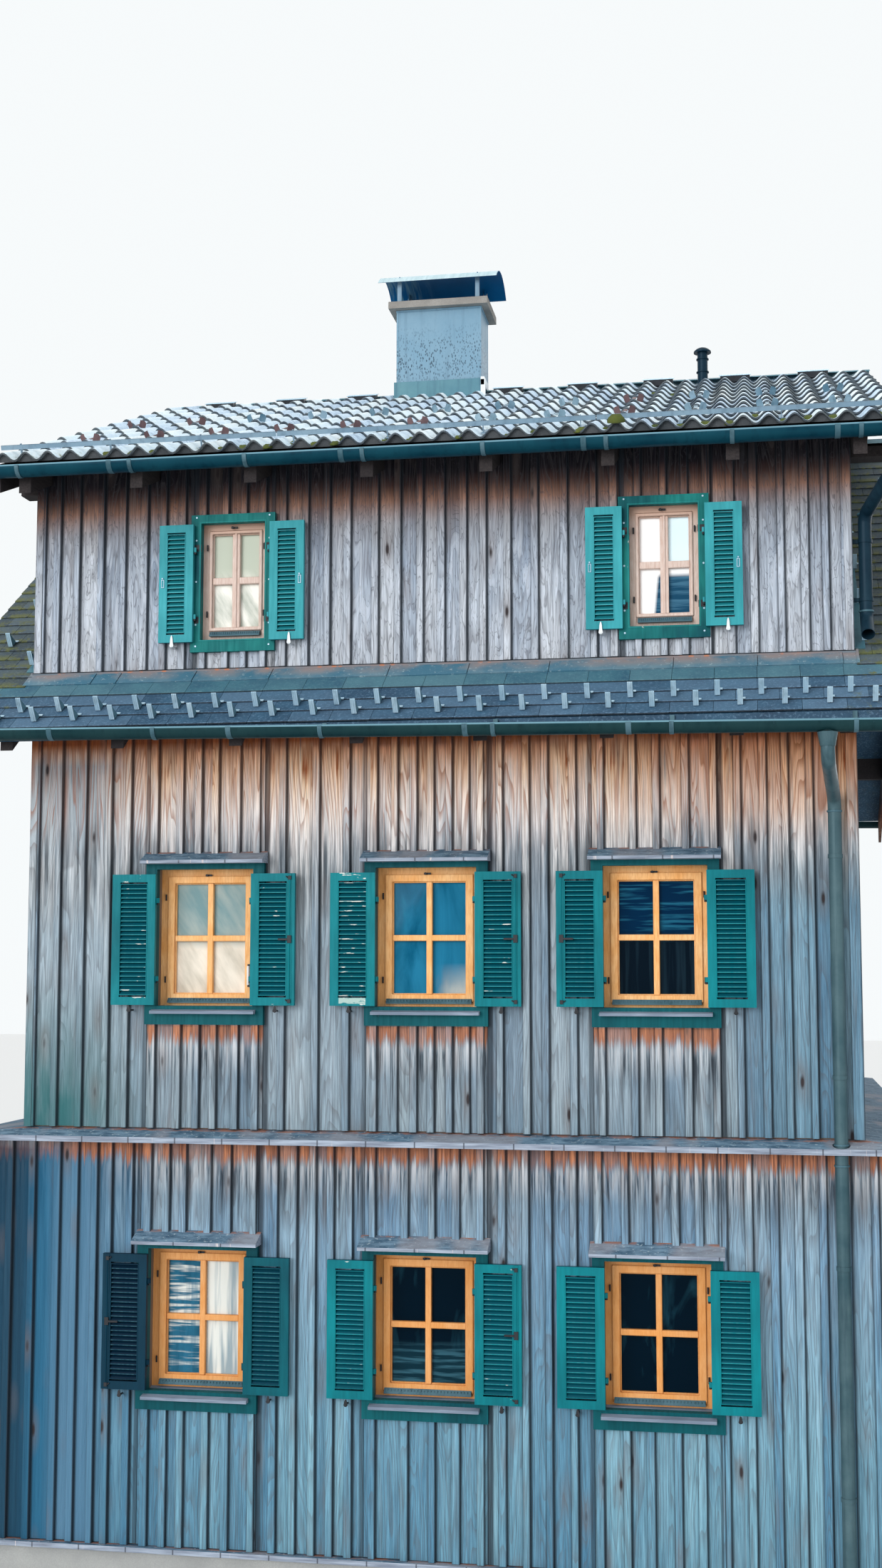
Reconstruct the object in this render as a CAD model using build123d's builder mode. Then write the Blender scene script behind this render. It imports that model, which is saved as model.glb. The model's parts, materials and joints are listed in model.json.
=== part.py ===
"""Three-storey timber lodge with a tiled saddle roof over an older, steeper shingled roof.

Millimetres. X runs along the front, Y from the front (negative) to the back, Z up.
The origin is the middle of the plan at ground level. The back repeats the front.
"""
from collections import namedtuple
import math
import os

from build123d import *

os.makedirs("parts", exist_ok=True)

# Plan
house_width = 5140  # middle and upper storey, over the wall faces
lower_width = 5780  # lower storey, over the wall faces
house_depth = 6240  # front wall face to back wall face
wall_thickness = 180

# Levels
plinth_height = 480
plinth_thickness = 300
plinth_projection = 30
lower_floor_thickness = 160
lower_room_height = 2180
middle_floor_thickness = 180
middle_room_height = 2250
upper_floor_thickness = 180

# Ledges between the storeys
base_ledge_height = 30
base_ledge_projection = 75
storey_ledge_projection = 150
storey_ledge_fascia = 35
storey_ledge_rise = 45

# Upper roof, low pitch, clay tiles in waves
upper_pitch = 21.7
upper_rafter_underside = 7218  # level at the wall face
upper_rafter_depth = 112
upper_rafter_width = 80
upper_rafter_pitch = 745
upper_rafter_count = 8
first_rafter_x = -2560
upper_rafter_overhang = 375
deck_thickness = 28
batten_height = 40
batten_width = 50
tile_gauge = 346
tile_wave_pitch = 150
tile_wave_count = 38
tile_wave_height = 62
tile_wave_steps = 8
tile_thickness = 14
tile_left_x = -2750
tile_overhang = 455
purlin_height = 120
purlin_width = 140
purlin_projection = 175
purlin_end_gap = 37.5  # right ends to the verge board
verge_board_height = 172
verge_board_thickness = 25
ridge_joint = 0.5  # each slope's timbers stop this far short of the middle

# Main roof, steep, shingles; it shows as a skirt in front and as strips beside the upper storey
main_pitch = 35.0
main_roof_width = 6400
main_eave_overhang = 635
main_eave_level = 5509  # top of the shingles at the eave
main_slab_thickness = 60
main_rafter_depth = 45
main_rafter_width = 80
main_purlin_width = 120
main_purlin_height = 150
main_barge_height = 170
main_barge_thickness = 25
ridge_cap_width = 130
ridge_cap_thickness = 12

# Gutters and downpipes
gutter_diameter = 127
gutter_wall = 3
gutter_bead = 7
gutter_end_overhang = 20
gutter_joint = 0.6  # between two lengths of gutter
bracket_width = 26
bracket_thickness = 4
strap_clearance = 0.3
upper_gutter_setout = 456.5  # wall face to the gutter's axis
upper_gutter_level = 7213
middle_gutter_setout = 718
middle_gutter_level = 5468
middle_gutter_fall = 0.0105
middle_gutter_length = 6460
middle_gutter_joints = (2155, 4310, 5350, 5900)  # from the left end; the outlet is in the short length
upper_gutter_joints = ()
middle_bracket_pitch = 1030
pipe_diameter = 80
pipe_wall = 3
pipe_wall_gap = 50
pipe_bend_radius = 80
pipe_clip_width = 24
pipe_stem_width = 16
pipe_foot = 60
notch_clearance = 12
neck_drop = 75
middle_neck_fall = 170
upper_neck_fall = 200
middle_clip_levels = (4700, 3400, 2300, 1000)
upper_clip_levels = (6620, 6260)
shoe_level = 6040
shoe_length = 120
middle_pipe_x = 2472
middle_outlet_x = 2417
upper_pipe_x = 2692
upper_outlet_x = 2860
funnel_diameter = 116
funnel_height = 80

# Chimney and vent
chimney_width = 690
chimney_depth = 400
chimney_x = -455
chimney_top = 9355
chimney_clearance = 20
flashing_top = 8750
flue_width = 260
flue_depth = 200
slab_width = 810
slab_depth = 520
slab_thickness = 60
slab_chamfer = 8
cowl_width = 970
cowl_depth = 580
cowl_rise = 120
cowl_gap = 150
cowl_thickness = 4
cowl_post_width = 40
cowl_post_thickness = 6
cowl_post_spacing_x = 640
cowl_post_spacing_y = 400
vent_x = 1655
vent_y = -195
vent_diameter = 80
vent_cap_diameter = 136
vent_cap_lip = 10
vent_cap_height = 44
vent_top = 8900
vent_ring_diameter = 98
vent_ring_height = 7
vent_ring_levels = (8696, 8800)

# Windows
WindowKind = namedtuple(
    "WindowKind",
    "frame_width frame_height opening_width opening_height casing_width casing_below casing_above "
    "setback rail_side rail_below rail_above has_sill pin_offset leaf_below leaf_height",
)
pin_to_jamb = 14
pin_to_casing_edge = 35.5
large_window = WindowKind(
    frame_width=650, frame_height=866, opening_width=632, opening_height=860,
    casing_width=775, casing_below=116, casing_above=35, setback=70,
    rail_side=90, rail_below=74, rail_above=90, has_sill=True,
    pin_offset=632 / 2 - pin_to_jamb, leaf_below=-6, leaf_height=822,
)
small_window = WindowKind(
    frame_width=443, frame_height=781, opening_width=425, opening_height=763,
    casing_width=557, casing_below=78, casing_above=54, setback=20,
    rail_side=64, rail_below=97, rail_above=68, has_sill=False,
    pin_offset=557 / 2 - pin_to_casing_edge, leaf_below=17, leaf_height=765,
)
casing_depth = 60
frame_depth = 60
frame_lap = 9  # the frame is wider than the casing's opening by this on each side
sash_inset = 45
sash_setback = 8
glass_thickness = 6
sill_depth_outside = 110
sill_ear = 13
sill_thickness = 48
sill_fall = 30
drip_cap_width = 800
drip_cap_projection = 150
drip_cap_rise = 85
drip_cap_fascia = 20

# Shutters
leaf_thickness = 32
stile_width = 52
rail_width = 50
slat_pitch = 29
slat_thickness = 6
slat_depth = 26  # measured across the leaf
slat_rise = 27  # from the slat's outer edge to its inner edge
leaf_gap = 7  # behind the open leaf
pin_radius = 4
pin_clearance = 0.3
eye_radius = 8
eye_height = 30
boss_radius = 7
boss_height = 12
pin_to_leaf = 10
meeting_gap = 7
pintle_inset = 150
arm_clearance = 2
arm_depth = 20
arm_width = 10

Row = namedtuple("Row", "name kind centres level")
rows = (
    Row("lower", large_window, (-1450, -15, 1390), 1450),
    Row("middle", large_window, (-1430, -10, 1400), 3810),
    Row("upper", small_window, (-1271, 1478), 6139),
)

# Planes and levels worked out from the sizes above
front_face = -house_depth / 2
lower_floor_top = plinth_height + lower_floor_thickness
middle_floor_bottom = lower_floor_top + lower_room_height
middle_floor_top = middle_floor_bottom + middle_floor_thickness
upper_floor_bottom = middle_floor_top + middle_room_height
upper_floor_top = upper_floor_bottom + upper_floor_thickness
upper_slope = math.tan(math.radians(upper_pitch))
upper_cos = math.cos(math.radians(upper_pitch))
main_slope = math.tan(math.radians(main_pitch))
main_cos = math.cos(math.radians(main_pitch))
rafter_top_level = upper_rafter_underside + upper_rafter_depth / upper_cos
deck_top_level = rafter_top_level + deck_thickness / upper_cos
tile_bottom_level = deck_top_level + batten_height / upper_cos
tile_right_x = tile_left_x + tile_wave_pitch * tile_wave_count
tile_width = tile_right_x - tile_left_x
plate_bottom_level = upper_rafter_underside + purlin_width * upper_slope - purlin_height
main_wall_level = main_eave_level + main_eave_overhang * main_slope
gutter_radius = gutter_diameter / 2
pipe_radius = pipe_diameter / 2
chimney_left = chimney_x - chimney_width / 2 - chimney_clearance
chimney_right = chimney_x + chimney_width / 2 + chimney_clearance
chimney_front = -chimney_depth / 2 - chimney_clearance


def save(node, name):
    """Label a finished piece and write it as its own STEP file."""
    node.part.label = name
    export_step(node.part, f"parts/{name}.step")


def block(x0, x1, y0, y1, z0, z1, mode=Mode.ADD):
    """An upright box between two corners, in the block that calls it."""
    with BuildSketch(Plane.XY.offset(z0)) as base:
        with Locations(((x0 + x1) / 2, (y0 + y1) / 2)):
            Rectangle(x1 - x0, y1 - y0)
    extrude(base.sketch, amount=z1 - z0, mode=mode)


def bar_along_x(outline, x0, x1, mode=Mode.ADD):
    """A bar of one YZ outline, given by its corners, from x0 to x1."""
    with BuildSketch(Plane.YZ.offset(x0)) as end:
        with BuildLine():
            Polyline(*outline, close=True)
        make_face()
    extrude(end.sketch, amount=x1 - x0, mode=mode)


def pipe_notches(bottom, top):
    """Clear both middle downpipes where they pass a ledge."""
    for side in (-1, 1):
        pipe_y = side * (pipe_wall_gap + pipe_radius - front_face)
        with BuildSketch(Plane.XY.offset(bottom)) as notch:
            with Locations((middle_pipe_x, pipe_y)):
                Circle(pipe_radius + notch_clearance)
        extrude(notch.sketch, amount=top - bottom, mode=Mode.SUBTRACT)


def vent_hole():
    """Clear the vent pipe through what lies over the deck."""
    with BuildSketch(Plane.XY.offset(upper_rafter_underside)) as hole:
        with Locations((vent_x, vent_y)):
            Circle(vent_diameter / 2)
    extrude(hole.sketch, amount=chimney_top - upper_rafter_underside, mode=Mode.SUBTRACT)


def upper_level(y, level_at_wall):
    """Height of a plane of the upper roof's front slope at a distance y from the middle."""
    return level_at_wall + (y - front_face) * upper_slope


def main_level(y, level_at_wall):
    """Height of a plane of the main roof's front slope at a distance y from the middle."""
    return level_at_wall + (y - front_face) * main_slope


def upper_band(y0, y1, bottom_at_wall, top_at_wall):
    """Corners of a band of the upper roof between two planes, cut plumb at both ends."""
    return (
        (y0, upper_level(y0, bottom_at_wall)),
        (y1, upper_level(y1, bottom_at_wall)),
        (y1, upper_level(y1, top_at_wall)),
        (y0, upper_level(y0, top_at_wall)),
    )


def main_band(y0, y1, bottom_at_wall, top_at_wall):
    """Corners of a band of the main roof between two planes, cut plumb at both ends."""
    return (
        (y0, main_level(y0, bottom_at_wall)),
        (y1, main_level(y1, bottom_at_wall)),
        (y1, main_level(y1, top_at_wall)),
        (y0, main_level(y0, top_at_wall)),
    )


def purlin_places():
    """Middle of each purlin of the upper roof's front half, from the wall plate to the ridge."""
    return (front_face + purlin_width / 2, front_face / 2)


def window_holes(row):
    """Cut the holes of one row of windows through the front wall."""
    kind = row.kind
    bottom = row.level - sill_thickness if kind.has_sill else row.level - frame_lap
    top = row.level + kind.frame_height if kind.has_sill else bottom + kind.frame_height
    for x in row.centres:
        block(
            x - kind.frame_width / 2, x + kind.frame_width / 2,
            front_face, front_face + wall_thickness, bottom, top, mode=Mode.SUBTRACT,
        )


def frame_bottom(row):
    """Level of the underside of a row's window frames."""
    return row.level if row.kind.has_sill else row.level - frame_lap


# Plinth: a masonry ring that the timber storeys stand on
with BuildPart() as plinth:
    with BuildSketch():
        Rectangle(lower_width + 2 * plinth_projection, house_depth + 2 * plinth_projection)
        Rectangle(
            lower_width + 2 * plinth_projection - 2 * plinth_thickness,
            house_depth + 2 * plinth_projection - 2 * plinth_thickness,
            mode=Mode.SUBTRACT,
        )
    extrude(amount=plinth_height)
save(plinth, "plinth")

# Base ledge: a weathered strip on the plinth's top edge, under the first boards
with BuildPart() as base_ledge:
    with BuildSketch(Plane.XY.offset(plinth_height)):
        Rectangle(lower_width + 2 * base_ledge_projection, house_depth + 2 * base_ledge_projection)
        Rectangle(lower_width, house_depth, mode=Mode.SUBTRACT)
    extrude(amount=base_ledge_height)
    chamfer(
        base_ledge.edges().group_by(Axis.Z)[-1].sort_by(Edge.length)[-2:]
        + base_ledge.edges().group_by(Axis.Z)[-1].sort_by(Axis.X)[:1]
        + base_ledge.edges().group_by(Axis.Z)[-1].sort_by(Axis.X)[-1:],
        length=base_ledge_height / 2,
    )
    pipe_notches(plinth_height, plinth_height + base_ledge_height)
save(base_ledge, "base_ledge")

# Floors: each is a platform that the next storey's walls stand on
floor_levels = (
    ("lower_floor", lower_width, plinth_height, lower_floor_thickness),
    ("middle_floor", lower_width, middle_floor_bottom, middle_floor_thickness),
    ("upper_floor", house_width, upper_floor_bottom, upper_floor_thickness),
)
for name, width, bottom, thickness in floor_levels:
    with BuildPart() as floor:
        with BuildSketch(Plane.XY.offset(bottom)):
            Rectangle(width, house_depth)
            with Locations((chimney_x, 0)):
                Rectangle(
                    chimney_width + 2 * chimney_clearance,
                    chimney_depth + 2 * chimney_clearance,
                    mode=Mode.SUBTRACT,
                )
        extrude(amount=thickness)
    save(floor, name)

# Front and back walls, one of each to a storey, with the windows cut through
storeys = (
    ("lower", lower_width, lower_floor_top, middle_floor_bottom),
    ("middle", house_width, middle_floor_top, upper_floor_bottom),
    ("upper", house_width, upper_floor_top, plate_bottom_level),
)
for row, (name, width, bottom, top) in zip(rows, storeys):
    with BuildPart() as front_wall:
        block(-width / 2, width / 2, front_face, front_face + wall_thickness, bottom, top)
        window_holes(row)
    save(front_wall, f"front_wall_{name}")
    with BuildPart() as back_wall:
        mirror(front_wall.part, about=Plane.XZ)
    save(back_wall, f"back_wall_{name}")

# Purlins of the upper roof: wall plates, middle purlins and the ridge purlin
purlin_x0 = -house_width / 2 - purlin_projection
purlin_x1 = tile_right_x - verge_board_thickness - purlin_end_gap
with BuildPart() as purlins:
    for y in purlin_places():
        low = upper_level(y + purlin_width / 2, upper_rafter_underside) - purlin_height
        bar_along_x(
            (
                (y - purlin_width / 2, low),
                (y + purlin_width / 2, low),
                (y + purlin_width / 2, upper_level(y + purlin_width / 2, upper_rafter_underside)),
                (y - purlin_width / 2, upper_level(y - purlin_width / 2, upper_rafter_underside)),
            ),
            purlin_x0, purlin_x1,
        )
    mirror(about=Plane.XZ)
    ridge_underside = upper_level(0, upper_rafter_underside)
    shoulder = ridge_underside - purlin_width / 2 * upper_slope
    bar_along_x(
        (
            (-purlin_width / 2, shoulder - purlin_height),
            (purlin_width / 2, shoulder - purlin_height),
            (purlin_width / 2, shoulder),
            (0, ridge_underside),
            (-purlin_width / 2, shoulder),
        ),
        purlin_x0, purlin_x1,
    )
    block(
        chimney_left, chimney_right, chimney_front, -chimney_front,
        upper_floor_top, chimney_top, mode=Mode.SUBTRACT,
    )
save(purlins, "purlins")

# Rafters of the upper roof, cut plumb at the tails
with BuildPart() as rafters:
    for number in range(upper_rafter_count):
        x = first_rafter_x + number * upper_rafter_pitch
        bar_along_x(
            upper_band(
                front_face - upper_rafter_overhang, -ridge_joint,
                upper_rafter_underside, rafter_top_level,
            ),
            x - upper_rafter_width / 2, x + upper_rafter_width / 2,
        )
    mirror(about=Plane.XZ)
    block(
        chimney_left, chimney_right, chimney_front, -chimney_front,
        upper_rafter_underside, chimney_top, mode=Mode.SUBTRACT,
    )
save(rafters, "rafters")

# Side walls: a lower storey, a middle storey, and an upper storey that ends in the gable
gable_foot = upper_level(front_face + wall_thickness, rafter_top_level)
for side, name in ((-1, "left_wall"), (1, "right_wall")):
    with BuildPart() as side_wall:
        inner_front = front_face + wall_thickness
        for width, bottom, top in (
            (lower_width, lower_floor_top, middle_floor_bottom),
            (house_width, middle_floor_top, upper_floor_bottom),
        ):
            outer = side * width / 2
            inner = outer - side * wall_thickness
            block(min(outer, inner), max(outer, inner), inner_front, -inner_front, bottom, top)
        outer = side * house_width / 2
        inner = outer - side * wall_thickness
        bar_along_x(
            (
                (inner_front, upper_floor_top),
                (-inner_front, upper_floor_top),
                (-inner_front, gable_foot),
                (0, upper_level(0, rafter_top_level)),
                (inner_front, gable_foot),
            ),
            min(outer, inner), max(outer, inner),
        )
        add(purlins.part, mode=Mode.SUBTRACT)
        add(rafters.part, mode=Mode.SUBTRACT)
    save(side_wall, name)

# Storey ledge: a sloped weather ledge round the top of the lower storey
ledge_bottom = middle_floor_top - storey_ledge_fascia
with BuildPart() as storey_ledge:
    ledge_width = lower_width + 2 * storey_ledge_projection
    ledge_depth = house_depth + 2 * storey_ledge_projection
    with BuildSketch(Plane.XY.offset(ledge_bottom)):
        Rectangle(ledge_width, ledge_depth)
    extrude(amount=storey_ledge_fascia)
    with BuildSketch(Plane.XY.offset(middle_floor_top)):
        Rectangle(ledge_width, ledge_depth)
    with BuildSketch(Plane.XY.offset(middle_floor_top + storey_ledge_rise)):
        Rectangle(house_width, house_depth)
    loft()
    block(
        -lower_width / 2, lower_width / 2, front_face, -front_face,
        ledge_bottom, middle_floor_top, mode=Mode.SUBTRACT,
    )
    block(
        -house_width / 2, house_width / 2, front_face, -front_face,
        middle_floor_top, middle_floor_top + storey_ledge_rise, mode=Mode.SUBTRACT,
    )
    pipe_notches(ledge_bottom, middle_floor_top + storey_ledge_rise)
save(storey_ledge, "storey_ledge")

# Main roof: slabs of boards and shingles, cut round the upper storey
main_slab_bottom = main_wall_level - main_slab_thickness / main_cos
with BuildPart() as main_roof_front:
    bar_along_x(
        main_band(front_face - main_eave_overhang, 0, main_slab_bottom, main_wall_level),
        -main_roof_width / 2, main_roof_width / 2,
    )
    block(
        -house_width / 2, house_width / 2, front_face, 0,
        upper_floor_bottom, chimney_top, mode=Mode.SUBTRACT,
    )
save(main_roof_front, "main_roof_front")
with BuildPart() as main_roof_back:
    mirror(main_roof_front.part, about=Plane.XZ)
save(main_roof_back, "main_roof_back")

# Rafters of the skirt, under the slab and against the wall
main_rafter_bottom = main_slab_bottom - main_rafter_depth / main_cos
with BuildPart() as main_rafters:
    for number in range(upper_rafter_count):
        x = first_rafter_x + number * upper_rafter_pitch
        x = min(x, house_width / 2 - main_rafter_width / 2)
        x = max(x, -house_width / 2 + main_rafter_width / 2)
        bar_along_x(
            main_band(front_face - main_eave_overhang, front_face, main_rafter_bottom, main_slab_bottom),
            x - main_rafter_width / 2, x + main_rafter_width / 2,
        )
    mirror(about=Plane.XZ)
save(main_rafters, "main_rafters")

# Purlin ends that carry the strips of the main roof beside the upper storey
purlin_cut_level = main_wall_level + 2 * main_purlin_width  # clear over the tops that are cut away
with BuildPart() as main_purlins:
    for side in (-1, 1):
        inner = side * house_width / 2
        outer = side * (main_roof_width / 2 - main_barge_thickness)
        for y in (front_face + main_purlin_width / 2, front_face / 2, 0):
            top = main_level(y, main_slab_bottom) + main_purlin_width
            bottom = main_level(y, main_slab_bottom) - main_purlin_height
            block(
                min(inner, outer), max(inner, outer),
                y - main_purlin_width / 2, y + main_purlin_width / 2, bottom, top,
            )
    bar_along_x(
        main_band(front_face - main_eave_overhang, 0, main_slab_bottom, purlin_cut_level),
        -main_roof_width / 2, main_roof_width / 2, mode=Mode.SUBTRACT,
    )
    bar_along_x(
        tuple((-y, z) for y, z in main_band(
            front_face - main_eave_overhang, 0, main_slab_bottom, purlin_cut_level,
        )),
        -main_roof_width / 2, main_roof_width / 2, mode=Mode.SUBTRACT,
    )
    mirror(about=Plane.XZ)
save(main_purlins, "main_purlins")

# Barge boards that close the verges of the main roof
with BuildPart() as main_barge_boards:
    for side in (-1, 1):
        inner = side * (main_roof_width / 2 - main_barge_thickness)
        outer = side * main_roof_width / 2
        bar_along_x(
            main_band(
                front_face - main_eave_overhang, -ridge_joint,
                main_slab_bottom - main_barge_height / main_cos, main_slab_bottom,
            ),
            min(inner, outer), max(inner, outer),
        )
    mirror(about=Plane.XZ)
save(main_barge_boards, "main_barge_boards")

# Ridge caps on the strips of the main roof
with BuildPart() as main_ridge_caps:
    ridge_level = main_level(0, main_wall_level)
    cap_drop = ridge_cap_width * main_slope
    cap_rise = ridge_cap_thickness / main_cos
    for side in (-1, 1):
        inner = side * house_width / 2
        outer = side * main_roof_width / 2
        bar_along_x(
            (
                (-ridge_cap_width, ridge_level - cap_drop),
                (0, ridge_level),
                (ridge_cap_width, ridge_level - cap_drop),
                (ridge_cap_width, ridge_level - cap_drop + cap_rise),
                (0, ridge_level + cap_rise),
                (-ridge_cap_width, ridge_level - cap_drop + cap_rise),
            ),
            min(inner, outer), max(inner, outer),
        )
save(main_ridge_caps, "main_ridge_caps")

# Deck of the upper roof: boards on the rafters
with BuildPart() as roof_deck:
    bar_along_x(
        upper_band(front_face - upper_rafter_overhang, -ridge_joint, rafter_top_level, deck_top_level),
        tile_left_x + verge_board_thickness, tile_right_x - verge_board_thickness,
    )
    block(
        chimney_left, chimney_right, chimney_front, 0,
        upper_rafter_underside, chimney_top, mode=Mode.SUBTRACT,
    )
    mirror(about=Plane.XZ)
save(roof_deck, "roof_deck")

# Tile battens along the deck, one under each course
course_count = int((tile_overhang - front_face) // (tile_gauge * upper_cos))
with BuildPart() as tile_battens:
    for course in range(course_count):
        y = front_face - upper_rafter_overhang + batten_width / 2 + course * tile_gauge * upper_cos
        bar_along_x(
            upper_band(y - batten_width / 2, y + batten_width / 2, deck_top_level, tile_bottom_level),
            tile_left_x + verge_board_thickness, tile_right_x - verge_board_thickness,
        )
    mirror(about=Plane.XZ)
    block(
        chimney_left, chimney_right, chimney_front, -chimney_front,
        upper_rafter_underside, chimney_top, mode=Mode.SUBTRACT,
    )
    vent_hole()
save(tile_battens, "tile_battens")

# Tiled slopes: a sheet of even waves that runs from the eave to the ridge
tile_slope_length = (tile_overhang - front_face) / upper_cos
eave_y = front_face - tile_overhang
wave_samples = [
    (
        step * tile_wave_pitch / tile_wave_steps,
        tile_wave_height / 2 * (1 - math.cos(2 * math.pi * step / tile_wave_steps)),
    )
    for step in range(tile_wave_count * tile_wave_steps + 1)
]
wave_plane = Plane(
    origin=(tile_left_x, eave_y, upper_level(eave_y, tile_bottom_level)),
    x_dir=(1, 0, 0),
    z_dir=(0, -upper_cos, -upper_slope * upper_cos),
)
with BuildPart() as tile_slope:
    with BuildSketch(wave_plane):
        with BuildLine():
            Polyline(
                *[(x, z) for x, z in wave_samples],
                *[(x, z + tile_thickness) for x, z in reversed(wave_samples)],
                close=True,
            )
        make_face()
    extrude(amount=-tile_slope_length)
    block(
        chimney_left, chimney_right, chimney_front, 0,
        upper_rafter_underside, chimney_top, mode=Mode.SUBTRACT,
    )
with BuildPart() as tile_roof_front:
    add(tile_slope.part)
    vent_hole()
save(tile_roof_front, "tile_roof_front")
with BuildPart() as tile_roof_back:
    mirror(tile_slope.part, about=Plane.XZ)
save(tile_roof_back, "tile_roof_back")

# Verge boards under the ends of the tiled slopes
with BuildPart() as verge_boards:
    for x in (tile_left_x, tile_right_x - verge_board_thickness):
        bar_along_x(
            upper_band(
                front_face - upper_rafter_overhang, -ridge_joint,
                tile_bottom_level - verge_board_height / upper_cos, tile_bottom_level,
            ),
            x, x + verge_board_thickness,
        )
    mirror(about=Plane.XZ)
save(verge_boards, "verge_boards")

# Chimney: a masonry stack in sheet metal from the ground up, its slab and its arched cowl
with BuildPart() as chimney_stack:
    with BuildSketch():
        with Locations((chimney_x, 0)):
            Rectangle(chimney_width, chimney_depth)
            Rectangle(flue_width, flue_depth, mode=Mode.SUBTRACT)
    extrude(amount=chimney_top)
save(chimney_stack, "chimney_stack")

with BuildPart() as chimney_flashing:
    flashing_bottom = upper_level(chimney_front, rafter_top_level)
    with BuildSketch(Plane.XY.offset(flashing_bottom)):
        with Locations((chimney_x, 0)):
            Rectangle(chimney_width + 2 * chimney_clearance, chimney_depth + 2 * chimney_clearance)
            Rectangle(chimney_width, chimney_depth, mode=Mode.SUBTRACT)
    extrude(amount=flashing_top - flashing_bottom)
save(chimney_flashing, "chimney_flashing")

with BuildPart() as chimney_slab:
    with BuildSketch(Plane.XY.offset(chimney_top)):
        with Locations((chimney_x, 0)):
            Rectangle(slab_width, slab_depth)
            Rectangle(flue_width, flue_depth, mode=Mode.SUBTRACT)
    extrude(amount=slab_thickness)
    chamfer(chimney_slab.edges().group_by(Axis.Z)[-1].group_by(Edge.length)[-1], length=slab_chamfer)
save(chimney_slab, "chimney_slab")

cowl_rim_level = chimney_top + slab_thickness + cowl_gap
cowl_radius = ((cowl_depth / 2) ** 2 + cowl_rise ** 2) / (2 * cowl_rise)
cowl_axis_level = cowl_rim_level + cowl_rise - cowl_radius
with BuildPart() as chimney_cowl:
    with BuildSketch(Plane.YZ.offset(chimney_x - cowl_width / 2)):
        with Locations((0, cowl_axis_level)):
            Circle(cowl_radius)
            Circle(cowl_radius - cowl_thickness, mode=Mode.SUBTRACT)
        with Locations((0, cowl_rim_level)):
            Rectangle(2 * cowl_radius, 2 * cowl_radius, align=(Align.CENTER, Align.MAX), mode=Mode.SUBTRACT)
    extrude(amount=cowl_width)
    for x in (chimney_x - cowl_post_spacing_x / 2, chimney_x + cowl_post_spacing_x / 2):
        for y in (-cowl_post_spacing_y / 2, cowl_post_spacing_y / 2):
            post_top = cowl_axis_level + math.sqrt((cowl_radius - cowl_thickness / 2) ** 2 - y ** 2)
            block(
                x - cowl_post_thickness / 2, x + cowl_post_thickness / 2,
                y - cowl_post_width / 2, y + cowl_post_width / 2,
                chimney_top + slab_thickness, post_top,
            )
save(chimney_cowl, "chimney_cowl")

# Vent pipe near the ridge, seated on the deck
with BuildPart() as vent_pipe:
    vent_seat = upper_level(vent_y, deck_top_level)
    dome_height = vent_cap_height - vent_cap_lip
    dome_radius = ((vent_cap_diameter / 2) ** 2 + dome_height ** 2) / (2 * dome_height)
    with BuildSketch(Plane.XZ.offset(-vent_y)):
        with BuildLine():
            outer = vent_x + vent_cap_diameter / 2
            lip = vent_top - vent_cap_height + vent_cap_lip
            Polyline(
                (vent_x, vent_top),
                (vent_x, vent_seat + vent_diameter / 2 * upper_slope),
                (vent_x + vent_diameter / 2, vent_seat + vent_diameter / 2 * upper_slope),
                (vent_x + vent_diameter / 2, vent_top - vent_cap_height),
                (outer, vent_top - vent_cap_height),
                (outer, lip),
            )
            RadiusArc((outer, lip), (vent_x, vent_top), -dome_radius)
        make_face()
    revolve(axis=Axis((vent_x, vent_y, 0), (0, 0, 1)))
    for level in vent_ring_levels:
        with BuildSketch(Plane.XY.offset(level)) as ring:
            with Locations((vent_x, vent_y)):
                Circle(vent_ring_diameter / 2)
        extrude(ring.sketch, amount=vent_ring_height)
save(vent_pipe, "vent_pipe")


def gutter(origin, direction, length, joints, outlet_x, outlet_y):
    """A half-round gutter in lengths, with closed ends and the hole of its outlet."""
    start = Plane(origin=origin, x_dir=(0, 1, 0), z_dir=direction)
    for begin, end in zip((0, *joints), (*joints, length + gutter_joint)):
        with BuildSketch(start.offset(begin)) as channel:
            Circle(gutter_radius)
            Circle(gutter_radius - gutter_wall, mode=Mode.SUBTRACT)
            Rectangle(
                2 * gutter_radius, gutter_radius, align=(Align.CENTER, Align.MIN), mode=Mode.SUBTRACT,
            )
            with Locations((-gutter_radius + gutter_bead, 0)):
                Circle(gutter_bead)
        extrude(channel.sketch, amount=end - begin - gutter_joint)
    for offset in (0, length - gutter_wall):
        with BuildSketch(start.offset(offset)) as stop_end:
            Circle(gutter_radius)
            Rectangle(
                2 * gutter_radius, gutter_radius, align=(Align.CENTER, Align.MIN), mode=Mode.SUBTRACT,
            )
        extrude(stop_end.sketch, amount=gutter_wall)
    with BuildSketch(Plane.XY.offset(origin[2] - 2 * gutter_radius)) as outlet:
        with Locations((outlet_x, outlet_y)):
            Circle(pipe_radius - pipe_wall)
    extrude(outlet.sketch, amount=gutter_diameter, mode=Mode.SUBTRACT)


def gutter_bracket(x, y, level, seat_y, seat_top):
    """A strap under the gutter and the plate that holds it to the eave."""
    with BuildSketch(Plane.YZ.offset(x - bracket_width / 2)) as strap:
        with Locations((y, level)):
            Circle(gutter_radius + strap_clearance + bracket_thickness)
            Circle(gutter_radius + strap_clearance, mode=Mode.SUBTRACT)
            Rectangle(
                2 * gutter_diameter, gutter_diameter, align=(Align.CENTER, Align.MIN), mode=Mode.SUBTRACT,
            )
    extrude(strap.sketch, amount=bracket_width)
    block(
        x - bracket_width / 2, x + bracket_width / 2,
        y + gutter_radius + strap_clearance, seat_y, level - gutter_radius / 2, seat_top,
    )


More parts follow.
